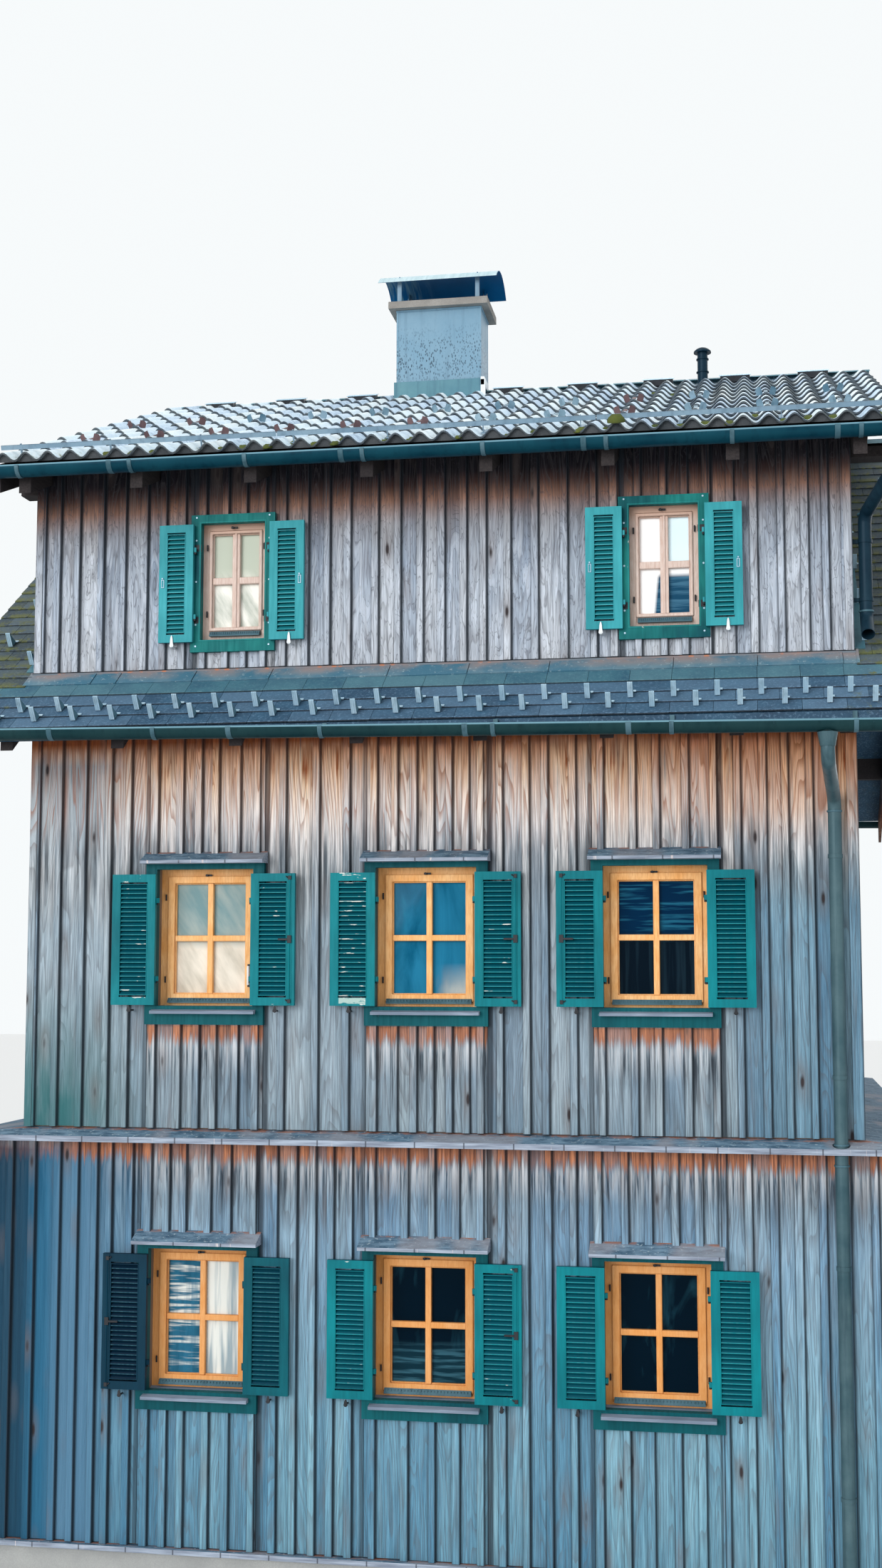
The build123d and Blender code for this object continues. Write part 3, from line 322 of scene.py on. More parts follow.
class Finish:
    """A material, its main shader, and the patterns that feed it."""

    def __init__(self, name, rough=0.7, metal=0.0, specular=0.5):
        self.material = bpy.data.materials.new(name)
        self.material.use_nodes = True
        self.nodes = self.material.node_tree.nodes
        self.links = self.material.node_tree.links
        self.nodes.clear()
        self.out = self.nodes.new("ShaderNodeOutputMaterial")
        self.shader = self.nodes.new("ShaderNodeBsdfPrincipled")
        self.links.new(self.shader.outputs["BSDF"], self.out.inputs["Surface"])
        self.shader.inputs["Roughness"].default_value = rough
        self.shader.inputs["Metallic"].default_value = metal
        self.shader.inputs["Specular IOR Level"].default_value = specular
        self.place = self.nodes.new("ShaderNodeTexCoord").outputs["Object"]

    def feed(self, socket, value):
        """Link a socket to a source, or set it."""
        if isinstance(value, bpy.types.NodeSocket):
            self.links.new(value, socket)
        elif isinstance(value, (tuple, list)) and len(value) == 3 and socket.type == "RGBA":
            socket.default_value = (*value, 1)
        else:
            socket.default_value = value

    def scaled(self, scale, source=None):
        """The place, or another vector, stretched by a scale."""
        node = self.nodes.new("ShaderNodeMapping")
        self.links.new(source or self.place, node.inputs["Vector"])
        node.inputs["Scale"].default_value = scale
        return node.outputs["Vector"]

    def noise(self, source, scale=1.0, detail=3.0, rough=0.55, distortion=0.0):
        """A cloudy pattern from 0 to 1."""
        node = self.nodes.new("ShaderNodeTexNoise")
        self.links.new(source, node.inputs["Vector"])
        looks = {"Scale": scale, "Detail": detail, "Roughness": rough, "Distortion": distortion}
        for name, value in looks.items():
            node.inputs[name].default_value = value
        return node.outputs["Fac"]

    def cells(self, source):
        """The distance to the middle of the nearest cell of a pattern."""
        node = self.nodes.new("ShaderNodeTexVoronoi")
        self.links.new(source, node.inputs["Vector"])
        node.inputs["Scale"].default_value = 1.0
        return node.outputs["Distance"]

    def calc(self, operation, first, second=0.5, third=0.5):
        """Arithmetic on values."""
        node = self.nodes.new("ShaderNodeMath")
        node.operation = operation
        for socket, value in zip(node.inputs, (first, second, third)):
            self.feed(socket, value)
        return node.outputs["Value"]

    def times(self, first, *others):
        """Values multiplied together."""
        for value in others:
            first = self.calc("MULTIPLY", first, value)
        return first

    def plus(self, first, *others):
        """Values added up."""
        for value in others:
            first = self.calc("ADD", first, value)
        return first

    def minus(self, first, second):
        """One value less another."""
        return self.calc("SUBTRACT", first, second)

    def unsigned(self, value):
        """A value without its sign."""
        return self.calc("ABSOLUTE", value)

    def band(self, value, low, full, end, high):
        """A value's share in a band: 0 at low, 1 from full to end, 0 again at high."""
        return self.times(self.fit(value, low, full), self.fit(value, high, end))

    def fit(self, value, low, high, start=0.0, end=1.0):
        """A value's span low to high made into start to end, and held there."""
        node = self.nodes.new("ShaderNodeMapRange")
        spans = {"Value": value, "From Min": low, "From Max": high, "To Min": start, "To Max": end}
        for name, item in spans.items():
            self.feed(node.inputs[name], item)
        return node.outputs["Result"]

    def ramp(self, value, stops):
        """A colour from a value, by (position, colour) stops."""
        node = self.nodes.new("ShaderNodeValToRGB")
        self.feed(node.inputs["Fac"], value)
        line = node.color_ramp.elements
        line[0].position, line[0].color = stops[0][0], (*stops[0][1], 1)
        line[1].position, line[1].color = stops[-1][0], (*stops[-1][1], 1)
        for position, colour in stops[1:-1]:
            line.new(position).color = (*colour, 1)
        return node.outputs["Color"]

    def mix(self, share, first, second, kind="MIX"):
        """Two colours mixed."""
        node = self.nodes.new("ShaderNodeMix")
        node.data_type = "RGBA"
        node.blend_type = kind
        self.feed(node.inputs[0], share)
        self.feed(node.inputs[6], first)
        self.feed(node.inputs[7], second)
        return node.outputs[2]

    def marks(self):
        """What is noted on the piece: across, tone, drop."""
        node = self.nodes.new("ShaderNodeAttribute")
        node.attribute_name = "grain"
        return self.split(node.outputs["Vector"])

    def number(self, name):
        """A number noted on the piece."""
        node = self.nodes.new("ShaderNodeAttribute")
        node.attribute_name = name
        return node.outputs["Fac"]

    def axis(self, letter):
        """One coordinate of the place."""
        return self.split(self.place)[letter]

    def facing(self):
        """How far the surface faces up."""
        return self.split(self.nodes.new("ShaderNodeNewGeometry").outputs["Normal"])["Z"]

    def split(self, source):
        """The three parts of a vector."""
        node = self.nodes.new("ShaderNodeSeparateXYZ")
        self.links.new(source, node.inputs["Vector"])
        return node.outputs

    def moved(self, source, x=0.0, y=0.0, z=0.0):
        """A vector moved by values."""
        join_up = self.nodes.new("ShaderNodeCombineXYZ")
        for socket, value in zip(join_up.inputs, (x, y, z)):
            self.feed(socket, value)
        node = self.nodes.new("ShaderNodeVectorMath")
        node.operation = "ADD"
        self.links.new(source, node.inputs[0])
        self.links.new(join_up.outputs["Vector"], node.inputs[1])
        return node.outputs["Vector"]

    def colour(self, source):
        self.feed(self.shader.inputs["Base Color"], source)

    def roughness(self, source):
        self.feed(self.shader.inputs["Roughness"], source)

    def relief(self, height, depth, strength=1.0):
        """Small relief from a height pattern; depth in metres."""
        node = self.nodes.new("ShaderNodeBump")
        node.inputs["Strength"].default_value = strength
        node.inputs["Distance"].default_value = depth
        self.feed(node.inputs["Height"], height)
        self.links.new(node.outputs["Normal"], self.shader.inputs["Normal"])


def board_tones(f):
    """Colour of the boards by height, with painted eave shadow at their tops; cooler at the front's ends,
    with streaks and a tone for each board.
    """
    top = 9.0
    ragged = f.times(f.minus(f.streak, 0.5), 1.5)
    uneven = f.plus(f.times(f.minus(f.tone, 0.5), 0.3), f.times(f.minus(f.patch, 0.5), 0.5))
    shift_up = f.times(f.plus(ragged, uneven), f.fit(f.height, 4.2, 4.7, 0.35, 0.55))
    level = f.plus(f.height, f.times(shift_up, f.fit(f.height, 5.45, 5.3)))
    level = f.calc("MINIMUM", level, f.fit(f.long_wall, 0.0, 1.0, 4.5, top))
    # The ramp's near-black tops are painted eave shadow
    colour = f.ramp(f.calc("DIVIDE", level, top), [(z / top, tone) for z, tone in BOARD_COLOURS_AND_EAVE_SHADE])
    left_end = f.times(f.fit(f.x, -1.75, -2.2), f.band(f.height, 4.5, 4.8, 5.34, 5.46), 0.85)
    colour = f.mix(left_end, colour, (0.33, 0.41, 0.47))
    right_end = f.times(f.fit(f.x, 1.75, 2.1), f.band(f.height, 2.98, 3.04, 4.45, 4.75), 0.8)
    colour = f.mix(right_end, colour, (0.48, 0.76, 0.88), "MULTIPLY")
    brown_right = f.times(f.fit(f.x, 0.9, 1.9), f.long_wall, f.band(f.height, 4.8, 5.0, 5.6, 5.65))
    colour = f.mix(brown_right, colour, (0.9, 0.74, 0.64), "MULTIPLY")
    colour = f.mix(f.fit(f.streak, 0.5, 0.72, 0.0, 0.6), colour, (0.9, 0.92, 0.96), "SOFT_LIGHT")
    colour = f.mix(f.fit(f.patch, 0.5, 0.25, 0.0, 0.55), colour, (0.1, 0.13, 0.17), "SOFT_LIGHT")
    own_tone = f.mix(f.tone, (0.24, 0.28, 0.34), (0.74, 0.71, 0.68))
    return f.mix(0.75, colour, own_tone, "SOFT_LIGHT")


def board_grain(f, colour, ring_line):
    """Fibres, dark streaks, soot at the foot of the brown, growth rings, and curls in the upper storey."""
    colour = f.mix(f.fit(f.fibre, 0.6, 0.3, 0.0, 0.6), colour, (0.12, 0.13, 0.15), "MULTIPLY")
    colour = f.mix(f.fit(f.streak, 0.4, 0.24, 0.0, 0.75), colour, (0.06, 0.07, 0.085))
    soot = f.times(f.band(f.height, 4.35, 4.6, 4.75, 4.98), f.fit(f.streak, 0.52, 0.36, 0.0, 0.8))
    colour = f.mix(soot, colour, (0.045, 0.06, 0.075))
    ring_tint = f.mix(f.orange, (0.09, 0.085, 0.09), (0.3, 0.085, 0.02))
    colour = f.mix(f.times(ring_line, f.fit(f.orange, 0.0, 1.0, 0.38, 0.62)), colour, ring_tint)
    curl = f.noise(f.scaled((14, 14, 2.4), f.own), detail=3, rough=0.5, distortion=1.1)
    curl_line = f.fit(f.calc("PINGPONG", f.times(curl, 9.0), 0.5), 0.12, 0.02)
    high = f.fit(f.height, 5.88, 5.95)
    colour = f.mix(f.times(curl_line, high, 0.5), colour, (0.05, 0.05, 0.06))
    bare = f.times(f.fit(curl, 0.54, 0.64), high, f.fit(f.height, 6.9, 6.7, 0.0, 0.3))
    return f.mix(bare, colour, (0.72, 0.78, 0.87))


def ledge_marks(f, colour, drop):
    """Bleached and sooty runs below ledges, and the share of rust right under them."""
    ragged_drop = f.plus(drop, f.times(f.minus(f.streak, 0.5), 0.3))
    low = f.fit(f.height, 5.0, 4.9)
    below = f.fit(ragged_drop, 0.09, 0.15)
    bleach = f.times(below, f.fit(ragged_drop, 0.34, 0.17), low, f.fit(f.streak, 0.42, 0.62, 0.0, 0.75))
    colour = f.mix(bleach, colour, (0.6, 0.6, 0.62))
    smut = f.times(below, f.fit(ragged_drop, 0.55, 0.22), low, f.fit(f.streak, 0.52, 0.38, 0.0, 0.88))
    colour = f.mix(smut, colour, (0.025, 0.033, 0.045))
    ruddy = f.fit(f.calc("FRACT", f.times(f.tone, 7.3)), 0.0, 0.35, 0.5, 1.0)
    open_side = f.fit(f.x, -2.6, -2.2, 0.25, 0.92)
    rust = f.times(f.fit(ragged_drop, 0.13, 0.07), f.fit(drop, -0.01, 0.01), low, ruddy, open_side)
    return colour, rust


def left_corner(f, colour):
    """Green damp at the left foot of the middle storey, and deep blue painted shade on the lower storey's
    left.
    """
    damp = f.times(f.fit(f.x, -1.75, -2.35), f.fit(f.height, 4.0, 3.2), f.fit(f.height, 2.95, 3.0))
    colour = f.mix(f.times(damp, f.fit(f.patch, 0.3, 0.6, 0.45, 0.95)), colour, (0.025, 0.125, 0.135))
    # Painted shade on the lower storey's left, lighter in a band and darkest at the corner
    painted_shade = f.mix(f.streak, (0.003, 0.045, 0.1), (0.022, 0.155, 0.28))
    lighter = f.times(f.fit(f.x, -2.46, -2.34), f.fit(f.x, -2.05, -2.15, 0.2, 1.0))
    painted_shade = f.mix(lighter, painted_shade, f.mix(f.streak, (0.03, 0.105, 0.18), (0.11, 0.235, 0.36)))
    painted_shade = f.mix(f.fit(f.x, -2.5, -2.62, 0.0, 0.72), painted_shade, (0.001, 0.014, 0.03))
    painted_shade_share = f.times(f.fit(f.x, -1.65, -2.2), f.fit(f.height, 2.95, 2.9), 0.95, f.long_wall)
    return f.mix(painted_shade_share, colour, painted_shade)


def batten_shadow_lines(f, left):
    """Painted shadow lines beside the battens on boards, and along the edges of battens."""
    width = f.number("width")
    right = f.minus(width, left)
    is_board = f.fit(width, 0.055, 0.065)
    is_batten = f.minus(1.0, is_board)
    lines = (
        f.times(f.fit(left, 0.039, 0.026), is_board),
        f.times(f.fit(right, 0.031, 0.024, 0.0, 0.75), is_board),
        f.times(f.fit(right, 0.009, 0.003), is_batten),
        f.times(f.fit(left, 0.005, 0.001, 0.0, 0.6), is_batten),
    )
    share = lines[0]
    for line in lines[1:]:
        share = f.calc("MAXIMUM", share, line)
    return f.times(share, f.fit(f.streak, 0.2, 0.6, 0.97, 0.75))


def weathered_boards_and_painted_shade(name):
    """Old upright boards: grey below, brown where an eave or a ledge keeps the rain off; painted shade
    darkens them under the eaves, beside the battens and on the lower storey's left.
    """
    f = Finish(name, rough=0.85, specular=0.2)
    left, f.tone, drop = f.marks()
    f.x, y, f.height = f.split(f.place)
    f.own = f.moved(f.place, *(f.times(f.tone, spread) for spread in (37.0, 53.0, 19.0)))
    f.fibre = f.noise(f.scaled((170, 170, 4.0), f.own), detail=5, rough=0.65)
    f.streak = f.noise(f.scaled((42, 42, 1.1), f.own), detail=5, rough=0.65)
    f.patch = f.noise(f.scaled((6, 6, 1.3), f.own), detail=4, rough=0.6)
    f.long_wall = f.fit(f.unsigned(y), 3.1, 3.115)
    f.orange = f.times(f.long_wall, f.band(f.height, 4.75, 5.05, 5.5, 5.6))
    growth = f.noise(f.scaled((8, 8, 0.6), f.own), detail=1.5, rough=0.4, distortion=0.5)
    ring_line = f.band(f.calc("FRACT", f.times(growth, 19.0)), 0.45, 0.93, 0.94, 1.0)
    knots = f.cells(f.scaled((6.5, 6.5, 1.9), f.own))
    knot = f.fit(knots, 0.1, 0.045)
    colour = board_grain(f, board_tones(f), ring_line)
    colour, rust = ledge_marks(f, colour, drop)
    rust_share = f.times(f.fit(f.fibre, 0.3, 0.65), f.fit(f.patch, 0.3, 0.6, 0.45, 1.0))
    rust_tint = f.mix(rust_share, (0.09, 0.03, 0.02), (0.66, 0.25, 0.11))
    colour = f.mix(rust, left_corner(f, colour), rust_tint)
    colour = f.mix(f.times(f.fit(knots, 0.34, 0.1), 0.4), colour, (0.14, 0.11, 0.1))
    colour = f.mix(knot, colour, (0.035, 0.028, 0.03))
    # The lines beside and along the battens are painted shadow
    shadow_line_tint = f.mix(f.orange, (0.018, 0.026, 0.036), (0.05, 0.03, 0.028))
    f.colour(f.mix(batten_shadow_lines(f, left), colour, shadow_line_tint))
    relief = f.plus(f.times(f.fibre, 0.7), f.times(f.streak, 0.5))
    f.relief(f.minus(relief, f.plus(f.times(ring_line, 0.3), knot)), 0.0025, 0.8)
    return f.material


def painted_wood(name, colour, dark, chips=0.1, rough=0.45, high=None):
    """Brushed and faded paint with chips that show pale wood; high is its tone in the upper storey."""
    f = Finish(name, rough=rough, specular=0.1)
    brush = f.noise(f.scaled((60, 60, 4)), detail=4)
    cloud = f.noise(f.scaled((3, 3, 2)), detail=3)
    if high:
        colour = f.mix(f.fit(f.axis("Z"), *MIDDLE_TO_UPPER), colour, high)
    base = f.mix(f.fit(cloud, 0.35, 0.7), colour, dark)
    brushed = f.mix(f.fit(brush, 0.3, 0.7, 0.0, 0.3), base, dark, "MULTIPLY")
    chip = f.fit(f.noise(f.scaled((34, 34, 11)), detail=6, rough=0.7), 0.74 - chips, 0.79 - chips)
    f.colour(f.mix(chip, brushed, (0.5, 0.52, 0.48)))
    f.roughness(f.fit(brush, 0.2, 0.8, rough - 0.08, rough + 0.2))
    f.relief(f.minus(brush, chip), 0.0008, 0.6)
    return f.material


def louvred_paint(name, colour, dark, slats, peel=0.0, rail=None):
    """Shutter paint; the slats' sloped faces take the dark tone as painted shade between the slats; inside
    their field the slats' noses are paler in patches, or peeled.
    """
    left, right, foot, head = slats
    soft = 0.004
    f = Finish(name, rough=0.42, specular=0.1)
    brush = f.noise(f.scaled((50, 50, 5)), detail=4)
    cloud = f.noise(f.scaled((2.2, 2.2, 1.6)), detail=3)
    base = f.mix(f.fit(cloud, 0.35, 0.7, 0.0, 0.5), colour, dark)
    up = f.unsigned(f.facing())
    painted = f.mix(f.fit(brush, 0.3, 0.75, 0.0, 0.25), base, dark, "MULTIPLY")
    # Painted shade: faces that slope up or down take the dark tone
    look = f.mix(f.fit(up, 0.35, 0.6, 0.0, 0.85), painted, dark)
    x, _, z = f.split(f.place)
    field = f.band(x, left, left + soft, right - soft, right)
    upright = f.fit(up, 0.3, 0.1)
    nose = f.times(field, upright, f.band(z, foot, foot + soft, head - soft, head))
    pale_nose_tone = f.mix(0.2, colour, (0.25, 0.6, 0.64))
    look = f.mix(f.times(nose, f.fit(brush, 0.35, 0.65, 0.0, 0.45)), look, pale_nose_tone)
    if peel:
        worn = f.noise(f.scaled((9, 9, 42)), detail=3, rough=0.6)
        chip = f.times(f.fit(worn, 0.7 - peel, 0.74 - peel), field, upright)
        look = f.mix(chip, look, (0.66, 0.7, 0.66))
    if rail:
        bare = f.band(z, rail[0], rail[0] + 0.003, rail[1] - 0.003, rail[1])
        patchy = f.fit(f.noise(f.scaled((20, 20, 60)), detail=4), 0.36, 0.44)
        look = f.mix(f.times(bare, patchy, field), look, (0.36, 0.5, 0.47))
    f.colour(look)
    f.roughness(f.fit(brush, 0.2, 0.8, 0.34, 0.55))
    f.relief(brush, 0.0006, 0.6)
    return f.material


def stained_wood(name, colour, dark, pale, faded):
    """Window timber: fine grain under a clear stain, bleached pale in the upper storey, with painted shade at
    the heads of the upper frames.
    """
    f = Finish(name, rough=0.42, specular=0.15)
    grain = f.noise(f.scaled((120, 120, 14)), detail=5, rough=0.6)
    cloud = f.noise(f.scaled((7, 7, 5)), detail=3)
    base = f.mix(f.fit(cloud, 0.3, 0.72), colour, pale)
    stained = f.mix(f.fit(grain, 0.38, 0.72, 0.0, 0.55), base, dark)
    height = f.axis("Z")
    warm = f.mix(f.fit(height, *LOWER_TO_MIDDLE, 0.5, 0.0), stained, dark)
    # Darker at the heads of the upper frames: painted shade under the lintels
    painted_head_shade = f.mix(f.fit(height, 6.8, 6.86), faded, (0.52, 0.34, 0.26))
    high = f.mix(f.fit(grain, 0.35, 0.75, 0.0, 0.8), painted_head_shade, (0.5, 0.32, 0.25))
    f.colour(f.mix(f.fit(height, *MIDDLE_TO_UPPER), warm, high))
    f.relief(grain, 0.0006, 0.5)
    return f.material


def bare_timber(name, colour, dark, scale=(30, 3, 30)):
    """Sawn timber with grain along it."""
    f = Finish(name, rough=0.85, specular=0.2)
    grain = f.noise(f.scaled(scale), scale=2.5, detail=5, rough=0.65)
    cloud = f.noise(f.place, scale=2.0, detail=3)
    base = f.mix(f.fit(cloud, 0.35, 0.7), colour, dark)
    f.colour(f.mix(f.fit(grain, 0.35, 0.68, 0.0, 0.7), base, dark))
    f.relief(grain, 0.0015, 0.7)
    return f.material


def old_sheet(name, colour, dark, pale, rough=0.45, metal=0.1, spots=0.0, rim=None, specular=0.25):
    """Sheet metal with soft clouds and rain streaks; rim is the level and the fall of a gutter's edge, where
    a pale band on the bowed front and a pale line along the edge are painted highlights.
    """
    f = Finish(name, rough=rough, metal=metal, specular=specular)
    cloud = f.noise(f.place, scale=3.2, detail=5, rough=0.6)
    streak = f.noise(f.scaled((26, 26, 1.6)), detail=4)
    base = f.mix(f.fit(cloud, 0.34, 0.7), colour, pale)
    run = f.mix(f.fit(streak, 0.5, 0.72, 0.0, 0.5), base, dark)
    x, _, z = f.split(f.place)
    if spots:
        speck = f.cells(f.scaled((70, 70, 36)))
        patchy = f.fit(f.noise(f.place, scale=5.0, detail=4), 0.34, 0.52)
        band = f.times(f.fit(z, 9.24, 9.0), f.fit(z, 8.74, 8.84, 0.3, 1.0))
        dots = f.times(f.fit(speck, 0.42, 0.28), patchy, band)
        run = f.mix(f.times(dots, spots), run, (0.025, 0.055, 0.085))
    if rim:
        above = f.minus(f.calc("MULTIPLY_ADD", x, rim[1], z), rim[0])
        # Painted highlights on a gutter: a pale band on its bowed front and a pale line along its edge
        bowed_highlight = f.times(f.fit(above, -0.055, -0.03), f.fit(above, -0.012, -0.03))
        run = f.mix(f.times(bowed_highlight, 0.5), run, pale)
        run = f.mix(f.fit(above, -0.006, -0.002, 0.0, 0.9), run, (0.14, 0.28, 0.35))
    f.colour(run)
    f.roughness(f.fit(cloud, 0.3, 0.7, rough - 0.08, rough + 0.15))
    f.relief(cloud, 0.0012, 0.35)
    return f.material


def cowl_finish(name):
    """The cowl's sheet: pale back, navy inside with lighter runs at its left end."""
    f = Finish(name, rough=0.45, metal=0.1, specular=0.06)
    run = f.noise(f.scaled((34, 3, 1.5)), detail=3)
    navy = f.mix(f.noise(f.place, scale=4.0), (0.0, 0.045, 0.13), (0.002, 0.1, 0.26))
    inside = f.mix(f.times(f.fit(f.axis("X"), -0.55, -0.85), f.fit(run, 0.42, 0.6)), navy, (0.09, 0.19, 0.26))
    f.colour(f.mix(f.fit(f.facing(), 0.15, 0.3), inside, f.mix(run, (0.3, 0.45, 0.5), (0.66, 0.8, 0.84))))
    f.relief(run, 0.001, 0.3)
    return f.material


def tile_finish(name):
    """Old clay tiles: lilac-grey bloom, dark lower edges and valleys, yellow-green growth low down."""
    f = Finish(name, rough=0.88, specular=0.25)
    rise, tone, drop = f.marks()
    bloom = f.noise(f.place, scale=26.0, detail=6, rough=0.7)
    cloud = f.noise(f.place, scale=3.0, detail=4)
    fine = f.noise(f.place, scale=160.0, detail=4)
    base = f.ramp(
        f.plus(f.times(bloom, 0.65), f.times(tone, 0.35)),
        (
            (0.2, (0.28, 0.39, 0.52)), (0.4, (0.68, 0.83, 0.97)),
            (0.56, (0.82, 0.95, 1.0)), (0.76, (0.95, 1.0, 1.0)),
        ),
    )
    mottled = f.mix(f.fit(cloud, 0.35, 0.7, 0.0, 0.25), base, (0.3, 0.42, 0.52))
    speckled = f.mix(f.fit(fine, 0.62, 0.75, 0.0, 0.5), mottled, (0.07, 0.08, 0.1))
    valley = f.mix(f.fit(rise, 0.45, 0.05, 0.0, 0.32), speckled, (0.12, 0.17, 0.22))
    low = f.fit(f.unsigned(f.axis("Y")), 2.2, 3.4)
    growth = f.times(f.fit(f.noise(f.place, scale=9.0, detail=6, rough=0.75), 0.56, 0.66), low)
    mossy = f.mix(f.times(growth, f.fit(rise, 0.75, 0.2, 0.0, 0.8)), valley, (0.14, 0.15, 0.045))
    f.colour(f.mix(f.fit(drop, 0.968, 0.988, 0.0, 0.9), mossy, (0.014, 0.02, 0.028)))
    f.relief(f.plus(bloom, f.times(fine, 0.5)), 0.003, 0.7)
    return f.material


def shingle_finish(name, colour, dark, pale, moss):
    """Slates or shingles: cloudy, dark at the lower edges, with moss in places."""
    f = Finish(name, rough=0.68, specular=0.4)
    _, tone, drop = f.marks()
    cloud = f.noise(f.place, scale=5.0, detail=6, rough=0.65)
    fine = f.noise(f.place, scale=60.0, detail=5, rough=0.7)
    base = f.mix(f.fit(cloud, 0.35, 0.68), colour, dark)
    toned = f.mix(f.fit(tone, 0.0, 1.0, 0.0, 0.4), base, pale)
    scuffed = f.mix(f.fit(fine, 0.52, 0.68, 0.0, 0.6), toned, pale)
    worn = f.times(f.fit(drop, 0.86, 0.93), f.fit(fine, 0.46, 0.58, 0.0, 0.7))
    edged = f.mix(f.fit(drop, 0.955, 0.985, 0.0, 0.85), f.mix(worn, scuffed, pale), (0.015, 0.02, 0.028))
    side = f.fit(f.unsigned(f.axis("X")), 2.5, 2.66)
    growth = f.fit(f.noise(f.place, scale=11.0, detail=6, rough=0.75), 0.62 - moss, 0.7 - moss)
    green = f.mix(fine, (0.02, 0.03, 0.015), (0.16, 0.18, 0.05))
    settled = f.times(growth, side, f.fit(drop, 0.45, 0.8, 0.15, 1.0))
    f.colour(f.mix(settled, edged, green))
    f.relief(f.plus(cloud, fine), 0.002, 0.6)
    return f.material


def spotted_foot(name):
    """The strip under the upper boards: pinkish grey with rust spots, black at its top as painted shadow in
    the gap under the boards.
    """
    f = Finish(name, rough=0.8, specular=0.2)
    cloud = f.noise(f.place, scale=4.0, detail=4)
    base = f.mix(f.fit(cloud, 0.4, 0.65), (0.14, 0.17, 0.2), (0.24, 0.18, 0.17))
    spot = f.times(f.fit(f.cells(f.scaled((16, 16, 16))), 0.34, 0.2), f.fit(cloud, 0.42, 0.55))
    spotted = f.mix(spot, base, (0.4, 0.17, 0.1))
    # Black top: painted shadow under the boards
    f.colour(f.mix(f.fit(f.axis("Z"), 5.95, 5.953), spotted, (0.008, 0.01, 0.014)))
    return f.material


def flashing_finish(name):
    """Old flashing: blue-grey, pink and pale towards the wall, with whitish runs."""
    f = Finish(name, rough=0.5, specular=0.2)
    cloud = f.noise(f.place, scale=3.5, detail=5, rough=0.6)
    fine = f.noise(f.place, scale=45.0, detail=4)
    base = f.mix(f.fit(cloud, 0.4, 0.62), (0.05, 0.15, 0.22), (0.13, 0.22, 0.27))
    depth = f.unsigned(f.axis("Y"))
    near_wall = f.times(f.fit(depth, 3.26, 3.19), f.fit(cloud, 0.38, 0.58))
    pink = f.mix(f.times(near_wall, 0.8), base, (0.26, 0.2, 0.19))
    f.colour(f.mix(f.fit(fine, 0.6, 0.7, 0.0, 0.5), pink, (0.4, 0.5, 0.53)))
    f.relief(cloud, 0.0012, 0.35)
    return f.material


def cap_finish(name):
    """Wooden ledges: felted dark top with lichen, lilac-grey edge board with joints and pale runs."""
    f = Finish(name, rough=0.8, specular=0.2)
    x, y, _ = f.split(f.place)
    grain = f.noise(f.scaled((4, 40, 60)), detail=4)
    blotch = f.noise(f.scaled((9, 30, 30)), detail=5, rough=0.65)
    board = f.mix(f.fit(grain, 0.35, 0.65), (0.17, 0.2, 0.26), (0.35, 0.41, 0.5))
    joint = f.fit(f.calc("PINGPONG", f.plus(f.times(x, 3.3), 0.2), 0.5), 0.02, 0.008)
    jointed = f.mix(f.times(joint, 0.8), board, (0.04, 0.045, 0.06))
    run = f.noise(f.scaled((55, 1, 2)), detail=3)
    run_tone = f.mix(blotch, (0.5, 0.32, 0.28), (0.75, 0.78, 0.8))
    streaked = f.mix(f.fit(run, 0.66, 0.7, 0.0, 0.8), jointed, run_tone)
    felt = f.mix(f.fit(blotch, 0.38, 0.62), (0.045, 0.095, 0.15), (0.16, 0.26, 0.35))
    growth = f.fit(f.noise(f.place, scale=38.0, detail=5, rough=0.7), 0.58, 0.66, 0.0, 0.85)
    lichen = f.mix(growth, felt, (0.36, 0.45, 0.5))
    lengths = f.fit(f.noise(f.scaled((2.2, 1, 1)), detail=2), 0.52, 0.6, 0.0, 0.5)
    band = f.mix(lengths, lichen, (0.34, 0.32, 0.34))
    depth = f.unsigned(y)
    by_wall = f.times(f.fit(depth, 3.175, 3.155), f.fit(depth, 3.118, 3.122))
    rust = f.times(by_wall, f.fit(blotch, 0.46, 0.54, 0.0, 0.8))
    rusted = f.mix(rust, band, f.mix(grain, (0.12, 0.035, 0.02), (0.45, 0.17, 0.08)))
    f.colour(f.mix(f.fit(f.facing(), 0.2, 0.3), streaked, rusted))
    f.relief(f.plus(grain, blotch), 0.002, 0.6)
    return f.material


def rendered_wall(name, colour, dark):
    """Rough rendered masonry with damp stains near the ground."""
    f = Finish(name, rough=0.9, specular=0.2)
    grit = f.noise(f.place, scale=130.0, detail=5, rough=0.7)
    cloud = f.noise(f.place, scale=2.5, detail=5)
    damp = f.fit(f.plus(f.axis("Z"), f.times(cloud, 0.4)), 0.55, 0.2)
    base = f.mix(f.fit(cloud, 0.35, 0.7), colour, dark)
    pitted = f.mix(f.fit(grit, 0.35, 0.65, 0.0, 0.5), base, dark)
    f.colour(f.mix(f.times(damp, 0.6), pitted, (0.12, 0.125, 0.11)))
    f.relief(grit, 0.004, 0.8)
    return f.material


def by_column(f, x, left, middle, right):
    """The looks of the left, the middle and the right window of a storey, chosen by place."""
    return f.mix(f.fit(x, -0.72, -0.7), left, f.mix(f.fit(x, 0.69, 0.71), middle, right))


